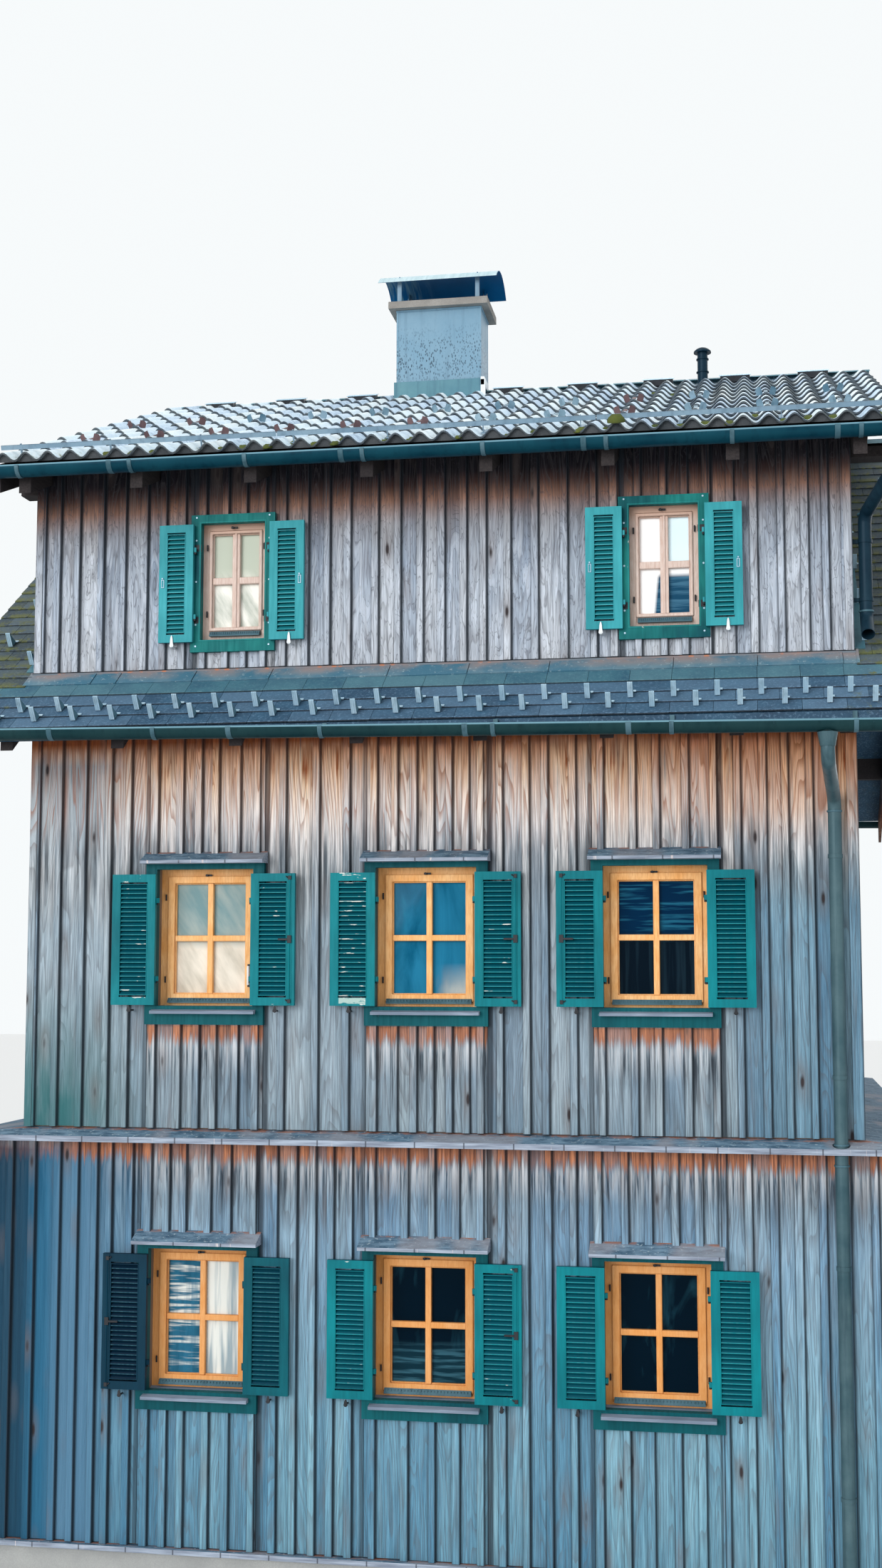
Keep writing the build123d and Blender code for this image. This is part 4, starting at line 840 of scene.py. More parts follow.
def middle_panes(f, x, z, soft, slant, ripple):
    """Middle storey: painted reflections, pale below and grey-green above on the left, blue with a pale patch
    in the middle; a dark curtain on the right.
    """
    # The colours of the left and middle windows are painted reflections
    light = f.mix(f.fit(slant, 0.35, 0.65), (0.46, 0.42, 0.34), (0.8, 0.74, 0.64))
    haze = f.mix(f.fit(slant, 0.35, 0.7), (0.16, 0.28, 0.3), (0.36, 0.42, 0.4))
    left = f.mix(f.fit(f.plus(z, f.times(slant, 0.16)), 4.26, 4.34), light, haze)
    blue = f.mix(f.fit(soft, 0.35, 0.65), (0.001, 0.085, 0.17), (0.016, 0.18, 0.32))
    glow = f.times(f.fit(z, 4.08, 3.92), f.fit(f.minus(x, f.times(soft, 0.3)), -0.16, 0.02))
    middle = f.mix(glow, blue, (0.4, 0.45, 0.45))
    bands = f.mix(f.fit(ripple, 0.5, 0.66), (0.0, 0.018, 0.055), (0.012, 0.11, 0.19))
    pleats = f.noise(f.scaled((30, 30, 1.2)), detail=3)
    curtain = f.mix(f.fit(pleats, 0.45, 0.62), (0.001, 0.006, 0.013), (0.006, 0.018, 0.03))
    right = f.mix(f.fit(z, 4.2, 4.28), curtain, bands)
    return by_column(f, x, left, middle, right)


def lower_panes(f, x, z, soft, ripple):
    """Lower storey: lace curtains on the left, dark rooms in the middle and on the right."""
    folds = f.noise(f.scaled((22, 22, 1.5)), detail=3)
    lace = f.mix(f.fit(folds, 0.4, 0.6), (0.3, 0.38, 0.42), (0.72, 0.74, 0.7))
    gloom = f.mix(f.fit(soft, 0.45, 0.6), (0.001, 0.012, 0.03), (0.02, 0.1, 0.17))
    parted = f.mix(f.fit(ripple, 0.48, 0.62), f.mix(0.5, gloom, (0.03, 0.18, 0.3)), lace)
    left = f.mix(f.fit(x, -1.47, -1.42), parted, lace)
    room = f.mix(f.fit(soft, 0.52, 0.68), (0.0, 0.006, 0.014), (0.008, 0.045, 0.07))
    bands = f.mix(f.fit(ripple, 0.45, 0.6), (0.004, 0.025, 0.04), (0.03, 0.1, 0.14))
    middle = f.mix(f.fit(z, 1.78, 1.7), room, bands)
    return by_column(f, x, left, middle, room)


def upper_panes(f, x, z, slant, ripple):
    """Upper storey: a pale painted reflection on the left; a painted reflection of bright sky over a dark
    roof on the right.
    """
    # Painted reflections
    pale_reflection = f.mix(f.fit(slant, 0.4, 0.62), (0.42, 0.46, 0.4), (0.86, 0.86, 0.8))
    left = f.mix(f.fit(z, 6.5, 6.62), pale_reflection, (0.5, 0.55, 0.46))
    roof_reflection = f.times(f.fit(z, 6.49, 6.46), f.fit(f.minus(x, f.times(z, 0.1)), 0.78, 0.8))
    pale_blue = f.times(f.fit(x, 1.47, 1.48), f.fit(z, 6.5, 6.55))
    clear = f.mix(pale_blue, (0.98, 0.98, 0.98), (0.74, 0.9, 0.96))
    right = f.mix(roof_reflection, clear, f.mix(f.fit(ripple, 0.45, 0.6), (0.01, 0.06, 0.12), (0.05, 0.15, 0.24)))
    return f.mix(f.fit(x, 0.0, 0.1), left, right)


def window_pane(name):
    """Old glass with dark rooms and curtains, and painted reflections of sky, hills and a roof; other in each
    window.
    """
    f = Finish(name, rough=0.04, specular=0.04)
    x, _, z = f.split(f.place)
    soft = f.noise(f.scaled((5, 5, 1.6)), detail=4, distortion=1.2)
    slant = f.noise(f.moved(f.scaled((9, 9, 3)), f.times(z, 5.0)), detail=4)
    ripple = f.noise(f.scaled((3, 3, 40)), detail=3)
    middle_up = f.mix(
        f.fit(z, *MIDDLE_TO_UPPER),
        middle_panes(f, x, z, soft, slant, ripple), upper_panes(f, x, z, slant, ripple),
    )
    f.colour(f.mix(f.fit(z, *LOWER_TO_MIDDLE), lower_panes(f, x, z, soft, ripple), middle_up))
    f.relief(f.noise(f.place, scale=5.0, detail=2), 0.002, 0.2)
    return f.material


boards = weathered_boards_and_painted_shade("weathered_boards_and_painted_shade")
tile_clay = tile_finish("aged_clay")
slate = shingle_finish("slate_shingles", (0.022, 0.08, 0.145), (0.008, 0.038, 0.08), (0.14, 0.25, 0.37), 0.08)
band_slate = shingle_finish(
    "upper_course_slates", (0.04, 0.14, 0.19), (0.016, 0.075, 0.13), (0.11, 0.23, 0.27), 0.05
)
wall_flashing = flashing_finish("wall_flashing")
foot_strip = spotted_foot("rust_spotted_foot")
# Sheet metal: its tone, its dark runs, its pale clouds and its roughness
flashing_sheet = old_sheet(
    "grey_green_flashing", (0.055, 0.16, 0.21), (0.025, 0.08, 0.13), (0.11, 0.24, 0.28), 0.5
)
hook_sheet = old_sheet("pale_galvanized", (0.36, 0.55, 0.68), (0.17, 0.27, 0.34), (0.52, 0.68, 0.78), 0.4)
dull_sheet = old_sheet("dull_galvanized", (0.15, 0.24, 0.32), (0.07, 0.12, 0.17), (0.22, 0.32, 0.4), 0.5)
rusty_sheet = old_sheet("rusty_snow_stops", (0.09, 0.05, 0.055), (0.04, 0.03, 0.04), (0.2, 0.12, 0.12), 0.6)
blue_sheet = old_sheet("blue_snow_stops", (0.06, 0.14, 0.2), (0.02, 0.06, 0.1), (0.3, 0.42, 0.5), 0.5)
upper_gutter_paint = old_sheet(
    "upper_gutter_paint", (0.001, 0.03, 0.053), (0.0, 0.014, 0.028), (0.005, 0.055, 0.082),
    0.38, rim=UPPER_GUTTER[1:], specular=0.07,
)
gutter_paint = old_sheet(
    "gutter_paint", (0.004, 0.028, 0.036), (0.002, 0.015, 0.02), (0.014, 0.045, 0.05),
    0.38, rim=MIDDLE_GUTTER[1:], specular=0.07,
)
strap_paint = old_sheet("strap_paint", (0.03, 0.09, 0.12), (0.012, 0.04, 0.055), (0.08, 0.16, 0.2), 0.45)
pipe_paint = old_sheet(
    "downpipe_paint", (0.035, 0.08, 0.1), (0.014, 0.036, 0.052), (0.08, 0.14, 0.16), 0.38, specular=0.12
)
upper_pipe_paint = old_sheet(
    "upper_downpipe_paint", (0.004, 0.017, 0.032), (0.002, 0.008, 0.016), (0.014, 0.04, 0.06),
    0.38, specular=0.07,
)
chimney_sheet = old_sheet(
    "chimney_sheet", (0.13, 0.245, 0.335), (0.08, 0.15, 0.21), (0.19, 0.31, 0.4), 0.5, spots=0.9
)
cowl_sheet = cowl_finish("cowl_sheet")
lead_sheet = old_sheet("pale_lead", (0.66, 0.7, 0.72), (0.4, 0.44, 0.47), (0.78, 0.8, 0.82), 0.55)
concrete = rendered_wall("cast_concrete", (0.4, 0.38, 0.35), (0.16, 0.15, 0.14))
mortar = rendered_wall("mortar", (0.13, 0.14, 0.15), (0.05, 0.06, 0.07))
masonry = rendered_wall("rendered_masonry", (0.42, 0.43, 0.42), (0.28, 0.29, 0.29))
teal_casing = painted_wood(
    "teal_casing_paint", (0.002, 0.11, 0.13), (0.001, 0.07, 0.09), chips=0.03, high=(0.012, 0.24, 0.22)
)
teal_bleached = painted_wood("bleached_casing_paint", (0.02, 0.25, 0.24), (0.01, 0.15, 0.155), chips=0.1)
# Shutter paints: sound, in painted shade, in deep painted shade, and pale; each with its dark, which also
# serves as painted shade between the slats
TEAL = ((0.002, 0.22, 0.255), (0.001, 0.05, 0.078))
TEAL_IN_PAINTED_SHADE = ((0.002, 0.11, 0.14), (0.001, 0.03, 0.055))
TEAL_IN_DEEP_PAINTED_SHADE = ((0.001, 0.036, 0.066), (0.001, 0.01, 0.025))
TEAL_PALE = ((0.05, 0.38, 0.43), (0.004, 0.13, 0.16))
teal_back = louvred_paint("back_shutter_paint", *TEAL, (0, 0.001, 0, 0.001))
window_timber = stained_wood(
    "orange_window_timber", (0.88, 0.43, 0.14), (0.58, 0.2, 0.04), (0.95, 0.6, 0.29), (0.7, 0.57, 0.51)
)
sill_timber = bare_timber("grey_sill_timber", (0.28, 0.34, 0.43), (0.12, 0.16, 0.22), (3, 30, 30))
frame_timber = bare_timber("dark_roof_timber", (0.05, 0.042, 0.042), (0.016, 0.014, 0.016))
ledge_timber = cap_finish("weathered_ledge")
black_iron = old_sheet("black_iron", (0.012, 0.014, 0.018), (0.005, 0.005, 0.006), (0.03, 0.032, 0.038), 0.45)
pane = window_pane("window_pane")
plain_board = bare_timber("inner_boards", (0.3, 0.22, 0.16), (0.17, 0.12, 0.09), (30, 30, 3))
moss = rendered_wall("moss", (0.12, 0.14, 0.03), (0.05, 0.07, 0.02))


# Cladding

def pick(piece, choose, kind="EDGE"):
    """Enter edit mode with the edges or faces selected that choose() accepts."""
    take(piece)
    bpy.ops.object.mode_set(mode="EDIT")
    bpy.ops.mesh.select_mode(type=kind)
    bpy.ops.mesh.select_all(action="DESELECT")
    bpy.ops.object.mode_set(mode="OBJECT")
    points = piece.data.vertices
    if kind == "EDGE":
        for edge in piece.data.edges:
            edge.select = bool(choose(*[points[number].co for number in edge.vertices]))
    else:
        for face in piece.data.polygons:
            face.select = bool(choose(face.center, face.normal))
    bpy.ops.object.mode_set(mode="EDIT")


def bevel_edges(piece, choose, offset):
    """Bevel the edges of a piece that choose() accepts."""
    pick(piece, choose)
    bpy.ops.mesh.bevel(offset=offset, segments=1)
    return done(piece)


BOARD_MODEL = (0.13, BOARD_THICKNESS, 1.0)


def board_model(easing):
    """One board a metre long, with its two front edges eased."""
    piece = block("board", (0, 0, 0), BOARD_MODEL)
    bevel_edges(piece, lambda a, b: a.y > 0.01 and b.y > 0.01 and abs(a.z - b.z) > 0.5, easing)
    piece.data.attributes.new("grain", "FLOAT_VECTOR", "POINT")
    piece.data.attributes.new("width", "FLOAT", "POINT")
    return piece


def clad(name, runs, side=0, easing=0.003):
    """Boards from runs of (edge, edge, feet, heads, inner face, outer face, shelter above); side -1, 0, 1."""
    model = board_model(easing)
    made = []
    for first, last, feet, heads, inner, outer, shelter in runs:
        board = bpy.data.objects.new(name, model.data.copy())
        bpy.context.collection.objects.link(board)
        tone = chance.random()
        marks = board.data.attributes["grain"].data
        for vertex, item in zip(board.data.vertices, marks):
            u, v, t = [part / size for part, size in zip(vertex.co, BOARD_MODEL)]
            along = first + u * (last - first)
            out = inner + v * (outer - inner)
            foot = feet[0] + u * (feet[1] - feet[0])
            head = heads[0] + u * (heads[1] - heads[0])
            z = foot + t * (head - foot)
            vertex.co = {0: (along, -out, z), 1: (out, along, z), -1: (-out, along, z)}[side]
            item.vector = (u * (last - first), tone, shelter - z)
        for item in board.data.attributes["width"].data:
            item.value = last - first
        made.append(board)
    bpy.data.objects.remove(model)
    cladding = join(name, made)
    edit(cladding)
    return done(cladding)


def cut_round(rectangle, holes):
    """A board's rectangle without the casings that it meets, each part with the level that shelters it."""
    parts = [rectangle]
    for left, right, foot, head, shelter in holes:
        rest = []
        for first, last, low, high, above in parts:
            if last <= left or first >= right or high <= foot or low >= head:
                rest.append((first, last, low, high, above))
                continue
            if first < left:
                rest.append((first, left, low, high, above))
            if last > right:
                rest.append((right, last, low, high, above))
            start, end = max(first, left), min(last, right)
            if low < foot:
                rest.append((start, end, low, foot, shelter))
            if high > head:
                rest.append((start, end, head, high, above))
        parts = rest
    return parts


def front_runs(storey, half, proud, battens):
    """The boards, or the battens, of one storey's front."""
    foot, head = LEVELS[storey]
    holes = []
    for row, x, level, kind in WINDOWS:
        if row == storey:
            casing = kind["casing"] - 0.006
            shelter = level - kind["below"] if storey == "middle" else NO_SHELTER
            top = level + kind["height"] + kind["above"] - 0.006
            holes.append((x - casing, x + casing, level - kind["below"] + 0.006, top, shelter))
    middles = BATTENS[storey]
    above = head if storey == "lower" else NO_SHELTER
    runs = []

    def add(first, last, inner, front, slip):
        for left, right, low, high, shelter in cut_round((first, last, foot, head, above), holes):
            low += slip * chance.random()
            runs.append((left, right, (low, low), (high, high), inner, front, shelter))

    if battens:
        for middle in (-half + 0.001, *middles, half - 0.001):
            width = BATTEN_WIDTH * (1 + 0.22 * (chance.random() - 0.5))
            front = proud + BOARD_THICKNESS + 0.002 * chance.random()
            add(middle - width / 2, middle + width / 2, proud - 0.002, front, 0.003)
    else:
        edges = (-half - BOARD_THICKNESS, *middles, half + BOARD_THICKNESS)
        for first, last in zip(edges, edges[1:]):
            front = proud - 0.002 * chance.random()
            add(first, last, HALF_DEPTH - 0.001, front, 0.006)
    return runs


FACE = HALF_DEPTH + BOARD_THICKNESS
for storey, half in HALF_WIDTHS.items():
    for kind in ("boards", "battens"):
        runs = front_runs(storey, half, FACE, kind == "battens")
        on_both_sides(clad(f"{storey}_{kind}_front", runs, easing=0.004), boards)


def side_middles():
    """Batten middles along a side wall."""
    middles = [-3.02]
    while middles[-1] < 2.9:
        middles.append(middles[-1] + 0.142 + 0.034 * (chance.random() - 0.5))
    return middles[:-1]


def side_runs(foot, head, face, battens, above):
    """Boards or battens of a side wall between two lines given as functions of y."""
    middles = side_middles()
    runs = []

    def add(first, last, inner, outer):
        runs.append((first, last, (foot(first), foot(last)), (head(first), head(last)), inner, outer, above))

    if battens:
        for middle in middles:
            width = BATTEN_WIDTH * (1 + 0.2 * (chance.random() - 0.5))
            add(middle - width / 2, middle + width / 2, face + 0.02, face + 2 * BOARD_THICKNESS)
        return runs
    edges = [-SIDE_END, *middles, SIDE_END]
    if not any(abs(edge) < 0.02 for edge in edges):
        edges = sorted(edges + [0.0])
    for first, last in zip(edges, edges[1:]):
        add(first, last, face - 0.001, face + BOARD_THICKNESS - 0.002 * chance.random())
    return runs


def under_main_roof(y):
    """Underside of the steep roof at a side wall."""
    return MAIN_SLAB_FOOT - 0.004 + (HALF_DEPTH - abs(y)) * MAIN_SLOPE


def over_main_roof(y):
    """Top of the steep roof's shingles at a side wall."""
    return MAIN_WALL_LEVEL + 0.004 + (HALF_DEPTH - abs(y)) * MAIN_SLOPE


def under_rafters(y):
    """Underside of the tiled roof's deck at a side wall."""
    return RAFTER_TOP - 0.006 + (HALF_DEPTH - abs(y)) * UPPER_SLOPE


LOWER_FOOT, LOWER_HEAD = LEVELS["lower"]
MIDDLE_FOOT = LEVELS["middle"][0]
for side, hand in ((-1, "left"), (1, "right")):
    for storey, foot, head, face, above in (
        ("lower", lambda y: LOWER_FOOT, lambda y: LOWER_HEAD, LOWER_SIDE_X, LOWER_HEAD),
        ("middle", lambda y: MIDDLE_FOOT, under_main_roof, SIDE_X, NO_SHELTER),
        ("upper", over_main_roof, under_rafters, SIDE_X, NO_SHELTER),
    ):
        for kind in ("boards", "battens"):
            runs = side_runs(foot, head, face, kind == "battens", above)
            if storey == "upper" and kind == "battens":
                runs = [run for run in runs if abs(run[0]) < 2.95]
            wear(clad(f"{storey}_{kind}_{hand}", runs, side), boards)


def corner_boards():
    """Upright trims that close the corners of the boards."""
    runs = []
    for storey, half in HALF_WIDTHS.items():
        foot, head = LEVELS[storey]
        above = head if storey == "lower" else NO_SHELTER
        for x in (-half - 0.044, half - 0.01):
            runs.append((x, x + 0.054, (foot, foot), (head, head), FACE + 0.001, FACE + 0.024, above))
    on_both_sides(clad("corner_trims_front", runs, easing=0.004), boards)


corner_boards()


# Tiled roof

TILE_PITCH = 0.15
TILE_GAUGE = 0.346
TILE_COUNT = 38
TILE_LEFT = -2.75
TILE_RIGHT = TILE_LEFT + TILE_COUNT * TILE_PITCH
TILE_COURSES = 11
TILE_LENGTH = 0.41
TILE_THICKNESS = 0.013
TILE_WAVE = 0.05
TILE_EAVE_Y = -3.575
TILE_LIFT = 0.019


def tile_rise(across):
    """Height of a tile's wave, 0 to 1, at a share of its width."""
    return 0.5 - 0.5 * math.cos(2 * math.pi * across)


def roof_place(x, along, lift=0.0, tilt=0.0):
    """A place on the front slope: x, metres up from the eave, lift; local X runs down the slope, Y across."""
    y = TILE_EAVE_Y + along * math.cos(UPPER_ANGLE)
    z = TILE_FOOT + (y + HALF_DEPTH) * UPPER_SLOPE
    down = Vector((0, -math.cos(UPPER_ANGLE - tilt), -math.sin(UPPER_ANGLE - tilt)))
    side = Vector((1, 0, 0))
    up = down.cross(side)
    matrix = Matrix((
        (down.x, side.x, up.x, x), (down.y, side.y, up.y, y), (down.z, side.z, up.z, z), (0, 0, 0, 1),
    ))
    return matrix @ Matrix.Translation((0, 0, lift))


def wave(steps, lift):
    """Points along one wave of a tile, from edge to edge."""
    return [(TILE_PITCH * n / steps, TILE_WAVE * tile_rise(n / steps) + lift) for n in range(steps + 1)]


def tile_model():
    """One tile: a wave in section, straight along its length, with its nose edge eased."""
    upper = wave(12, TILE_THICKNESS)
    lower = [(y, z - TILE_THICKNESS) for y, z in reversed(upper)]
    tile = bar("tile", upper + lower, -TILE_LENGTH, 0)
    top = TILE_THICKNESS * 0.99
    bevel_edges(tile, lambda a, b: a.x > -0.001 and b.x > -0.001 and min(a.z, b.z) > top, 0.003)
    mark(tile, across=lambda co: tile_rise(co.y / TILE_PITCH), drop=lambda co: 1 + co.x / TILE_LENGTH)
    return smooth(tile, 40)


tile_places = []
for course in range(TILE_COURSES):
    for column in range(TILE_COUNT):
        drift = 0.005 * (chance.random() - 0.5)
        tilt = math.atan(TILE_LIFT / TILE_GAUGE) + 0.004 * (chance.random() - 0.5)
        along = course * TILE_GAUGE + drift
        tile_places.append(roof_place(TILE_LEFT + column * TILE_PITCH, along, lift=TILE_LIFT, tilt=tilt))
tiles = copies("tiles_front", tile_model(), tile_places)
tiles_back = to_the_back(tiles, "tiles_back")
for piece, node in ((tiles, "tile_roof_front"), (tiles_back, "tile_roof_back")):
    wear(piece, tile_clay)
    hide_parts(node)


def on_wave(column, along, lift=0.0):
    """A place on the crest of a wave, a number of metres up from the eave."""
    step = TILE_LIFT * (1 - (along % TILE_GAUGE) / TILE_GAUGE)
    return roof_place(
        TILE_LEFT + (column + 0.5) * TILE_PITCH, along, lift=TILE_WAVE + TILE_THICKNESS + step + lift
    )


def wing_stop():
    """A snow stop: a strap over the tile's crest with a wing that stands up on each side of it."""
    pieces = [block("strap", (-0.14, -0.012, -0.002), (0.02, 0.012, 0.003))]
    for side in (-1, 1):
        wing = block("wing", (-0.0015, -0.024, -0.02), (0.0015, 0.024, 0.034))
        bevel_edges(
            wing, lambda a, b: min(a.z, b.z) > 0.03 and abs(a.y - b.y) < 0.001 and a.y * side > 0, 0.016
        )
        lean = Matrix.Rotation(side * math.radians(-20), 4, "X")
        turn = Matrix.Rotation(side * math.radians(32), 4, "Z")
        wing.data.transform(shift(0, side * 0.046, 0) @ lean @ turn)
        pieces.append(wing)
    return join("wing_stop", pieces)


# Rusty stops to the left and low down, bluish ones elsewhere
rusty_places, blue_places = [], []
for along, rusty_end in ((0.8, 19), (1.78, 8)):
    for column in range(2, TILE_COUNT - 1, 3):
        places = rusty_places if column < rusty_end or column == 26 else blue_places
        places.append(on_wave(column, along, lift=-0.002))
for places, finish, name in (
    (rusty_places, rusty_sheet, "rusty_stops"), (blue_places, blue_sheet, "blue_stops"),
):
    on_both_sides(copies(f"{name}_front", wing_stop(), places), finish)


def ridge_vents():
    """Vent openings under raised plates along the ridge, one every four waves; the black blocks in them are
    painted shade.
    """
    plates, mouths = [], []
    for column in range(3, TILE_COUNT - 1, 4):
        x = TILE_LEFT + column * TILE_PITCH + 0.02
        place = roof_place(x, 3.72, lift=0.062)
        plates.append(block("plate", (-0.055, -0.14, 0.018), (0.05, 0.11, 0.022)))
        mouths.append(block("mouth", (-0.045, -0.13, -0.03), (0.045, 0.1, 0.018)))
        for piece in (plates[-1], mouths[-1]):
            piece.data.transform(place)
    return ease_edges(join("ridge_plates_front", plates), 0.0015), join("ridge_mouths_front", mouths)


# The black mouths are painted shade inside the vents
for piece, finish in zip(ridge_vents(), (hook_sheet, black_iron)):
    on_both_sides(piece, finish)


def ridge_run():
    """A low folded strip that closes the joint of the two slopes between the crests."""
    top = TILE_FOOT + HALF_DEPTH * UPPER_SLOPE + 0.062
    upper = [(-0.09, top - 0.036), (0, top), (0.09, top - 0.036)]
    outline = upper + [(y, z - 0.004) for y, z in reversed(upper)]
    strip = bar("ridge_strip", outline, TILE_LEFT + 0.004, TILE_RIGHT - 0.004)
    return ease_edges(strip, 0.001)


wear(ridge_run(), flashing_sheet)


def eave_fillers():
    """Mortar under the crests of the eave course, with its face drawn back from the tiles' noses."""
    fillers = []
    for column in range(TILE_COUNT):
        piece = bar("filler", wave(8, 0.012), -0.05, -0.028 + 0.012 * (chance.random() - 0.5))
        piece.data.transform(roof_place(TILE_LEFT + column * TILE_PITCH, 0, lift=0.004))
        fillers.append(piece)
    return join("eave_mortar_front", fillers)


on_both_sides(eave_fillers(), mortar)


CUSHIONS = 74
EAVE_CUSHIONS = 60


def moss_cushions():
    """Low cushions of moss in the valleys near the eave and on a few tiles higher up."""
    nothing_selected()
    bpy.ops.mesh.primitive_uv_sphere_add(segments=10, ring_count=6, radius=1)
    cushion = bpy.context.active_object
    pick(cushion, lambda a, b: True)
    bpy.ops.mesh.bisect(plane_co=(0, 0, -0.2), plane_no=(0, 0, 1), clear_inner=True, use_fill=True)
    done(cushion)
    for vertex in cushion.data.vertices:
        vertex.co *= 1 + 0.18 * math.sin(5 * vertex.co.x + 7 * vertex.co.y) * vertex.co.z
    places = []
    for number in range(CUSHIONS):
        column = chance.randrange(0, TILE_COUNT)
        along = 0.02 + abs(chance.gauss(0, 0.13)) if number < EAVE_CUSHIONS else chance.uniform(0.2, 3.6)
        size = chance.uniform(0.014, 0.036)
        place = roof_place(TILE_LEFT + column * TILE_PITCH + chance.uniform(-0.016, 0.016), along, lift=0.028)
        places.append(place @ Matrix.Diagonal((size * 1.6, size, size * 0.62, 1)))
    places.append(on_wave(26, 0.02) @ Matrix.Diagonal((0.05, 0.055, 0.042, 1)))
    return smooth(copies("moss_front", cushion, places), 60)


on_both_sides(moss_cushions(), moss)


def snow_rail():
    """A flat galvanized rail above the eave course, on stays that go under the tiles."""
    place = roof_place(0, 0.13, lift=TILE_WAVE + 0.036)
    pieces = []
    for first, last in ((TILE_LEFT + 0.02, -0.9), (-0.9, 1.1), (1.1, TILE_RIGHT - 0.02)):
        rail = block("rail", (-0.002, first, 0), (0.002, last - 0.006, 0.03))
        lip = block("lip", (-0.01, first, 0.027), (0.002, last - 0.006, 0.03))
        pieces += [rail, lip]
    for column in range(1, TILE_COUNT, 4):
        x = TILE_LEFT + column * TILE_PITCH
        stay = block("stay", (-0.22, x - 0.014, -0.048), (0.0, x + 0.014, -0.042))
        post = block("post", (-0.03, x - 0.002, -0.048), (-0.002, x + 0.002, 0.036))
        pieces += [stay, post]
    rail = join("snow_rail_front", pieces)
    rail.data.transform(place)
    return ease_edges(rail, 0.0008)


on_both_sides(snow_rail(), dull_sheet)


# Steep roof round the upper storey

COURSE = 0.14
SHINGLE = 0.2525
SHINGLE_JOINT = 1.274
FLASHING = 0.187
BAND_NOSE = 0.352
MAIN_ROOF_X = 3.196
STRIP_SHINGLE = 0.2
SHINGLE_LENGTH = 0.2
HOOK_STEP = 0.2535
SIDE_HOOK_STEP = 0.56
SIDE_RUN = 3.74
FLASHING_X = 2.64


def steep_place(x, down, lift=0.0):
    """A place on the front slope of the steep roof; local X runs down from the upper wall, Y across, Z up."""
    y = WALL_Y - down * math.cos(MAIN_ANGLE)
    z = MAIN_WALL_LEVEL + (y + HALF_DEPTH) * MAIN_SLOPE
    turned = Matrix.Rotation(math.radians(-90), 4, "Z") @ Matrix.Rotation(MAIN_ANGLE, 4, "Y")
    return Matrix.Translation((x, y, z)) @ turned @ Matrix.Translation((0, 0, lift))


def shingle_model(width, length):
    """A shingle: thin at its head, thicker at its nose, with worn lower corners."""
    piece = block("shingle", (-length, 0.0012, 0), (0, width - 0.0012, 0.007))
    pick(piece, lambda centre, normal: normal.x < -0.9, "FACE")
    bpy.ops.transform.resize(value=(1, 1, 0.3), center_override=(0, 0, 0))
    done(piece)
    bevel_edges(piece, lambda a, b: a.x > -0.001 and b.x > -0.001 and abs(a.z - b.z) > 0.004, 0.004)
    return mark(piece, across=lambda co: 2 * co.y / width - 1, drop=lambda co: 1 + co.x / (length * 0.8))


def courses_between(left, right, noses, width, joint):
    """Places of the shingles of a slope, in staggered courses from its foot upwards."""
    places = []
    for row, down in enumerate(noses):
        first = joint + (width / 2 if row % 2 else 0)
        x = first - width * math.ceil((first - left) / width)
        while x < right - 0.02:
            start, end = max(x, left), min(x + width, right)
            x += width
            if end - start < 0.02:
                continue
            tilt = Matrix.Rotation(math.radians(-1.4 - 0.5 * (chance.random() - 0.5)), 4, "Y")
            nose = down + 0.004 * (chance.random() - 0.5)
            cut = Matrix.Diagonal((1, (end - start) / width, 1, 1))
            places.append(steep_place(start, nose, lift=0.0095) @ tilt @ cut)
    return places


EAVE_DOWN = 0.635 / math.cos(MAIN_ANGLE) + 0.003
RIDGE_DOWN = -HALF_DEPTH / math.cos(MAIN_ANGLE)
skirt_noses = [EAVE_DOWN - n * COURSE for n in range(3)]
skirt = courses_between(-MAIN_ROOF_X, MAIN_ROOF_X, skirt_noses, SHINGLE, SHINGLE_JOINT)
band = courses_between(-MAIN_ROOF_X, MAIN_ROOF_X, [0.0, BAND_NOSE], SHINGLE, SHINGLE_JOINT + SHINGLE / 2)
band = [place for place in band if place.translation.y < WALL_Y - 0.2]
mossy = shingle_finish("mossy_shingles", (0.03, 0.055, 0.075), (0.012, 0.025, 0.035), (0.12, 0.17, 0.2), 0.16)
strips = []
strip_noses = []
down = FLASHING + 0.02
while down > RIDGE_DOWN + 0.14:
    strip_noses.append(down)
    down -= COURSE
for left, right in ((-MAIN_ROOF_X, -SIDE_X - 0.046), (SIDE_X + 0.046, MAIN_ROOF_X)):
    strips += courses_between(left, right, strip_noses, STRIP_SHINGLE, left)
for places, width, finish, name in (
    (skirt, SHINGLE, slate, "skirt_shingles"),
    (band, SHINGLE, band_slate, "band_shingles"),
    (strips, STRIP_SHINGLE, mossy, "strip_shingles"),
):
    on_both_sides(copies(f"{name}_front", shingle_model(width, SHINGLE_LENGTH), places), finish)


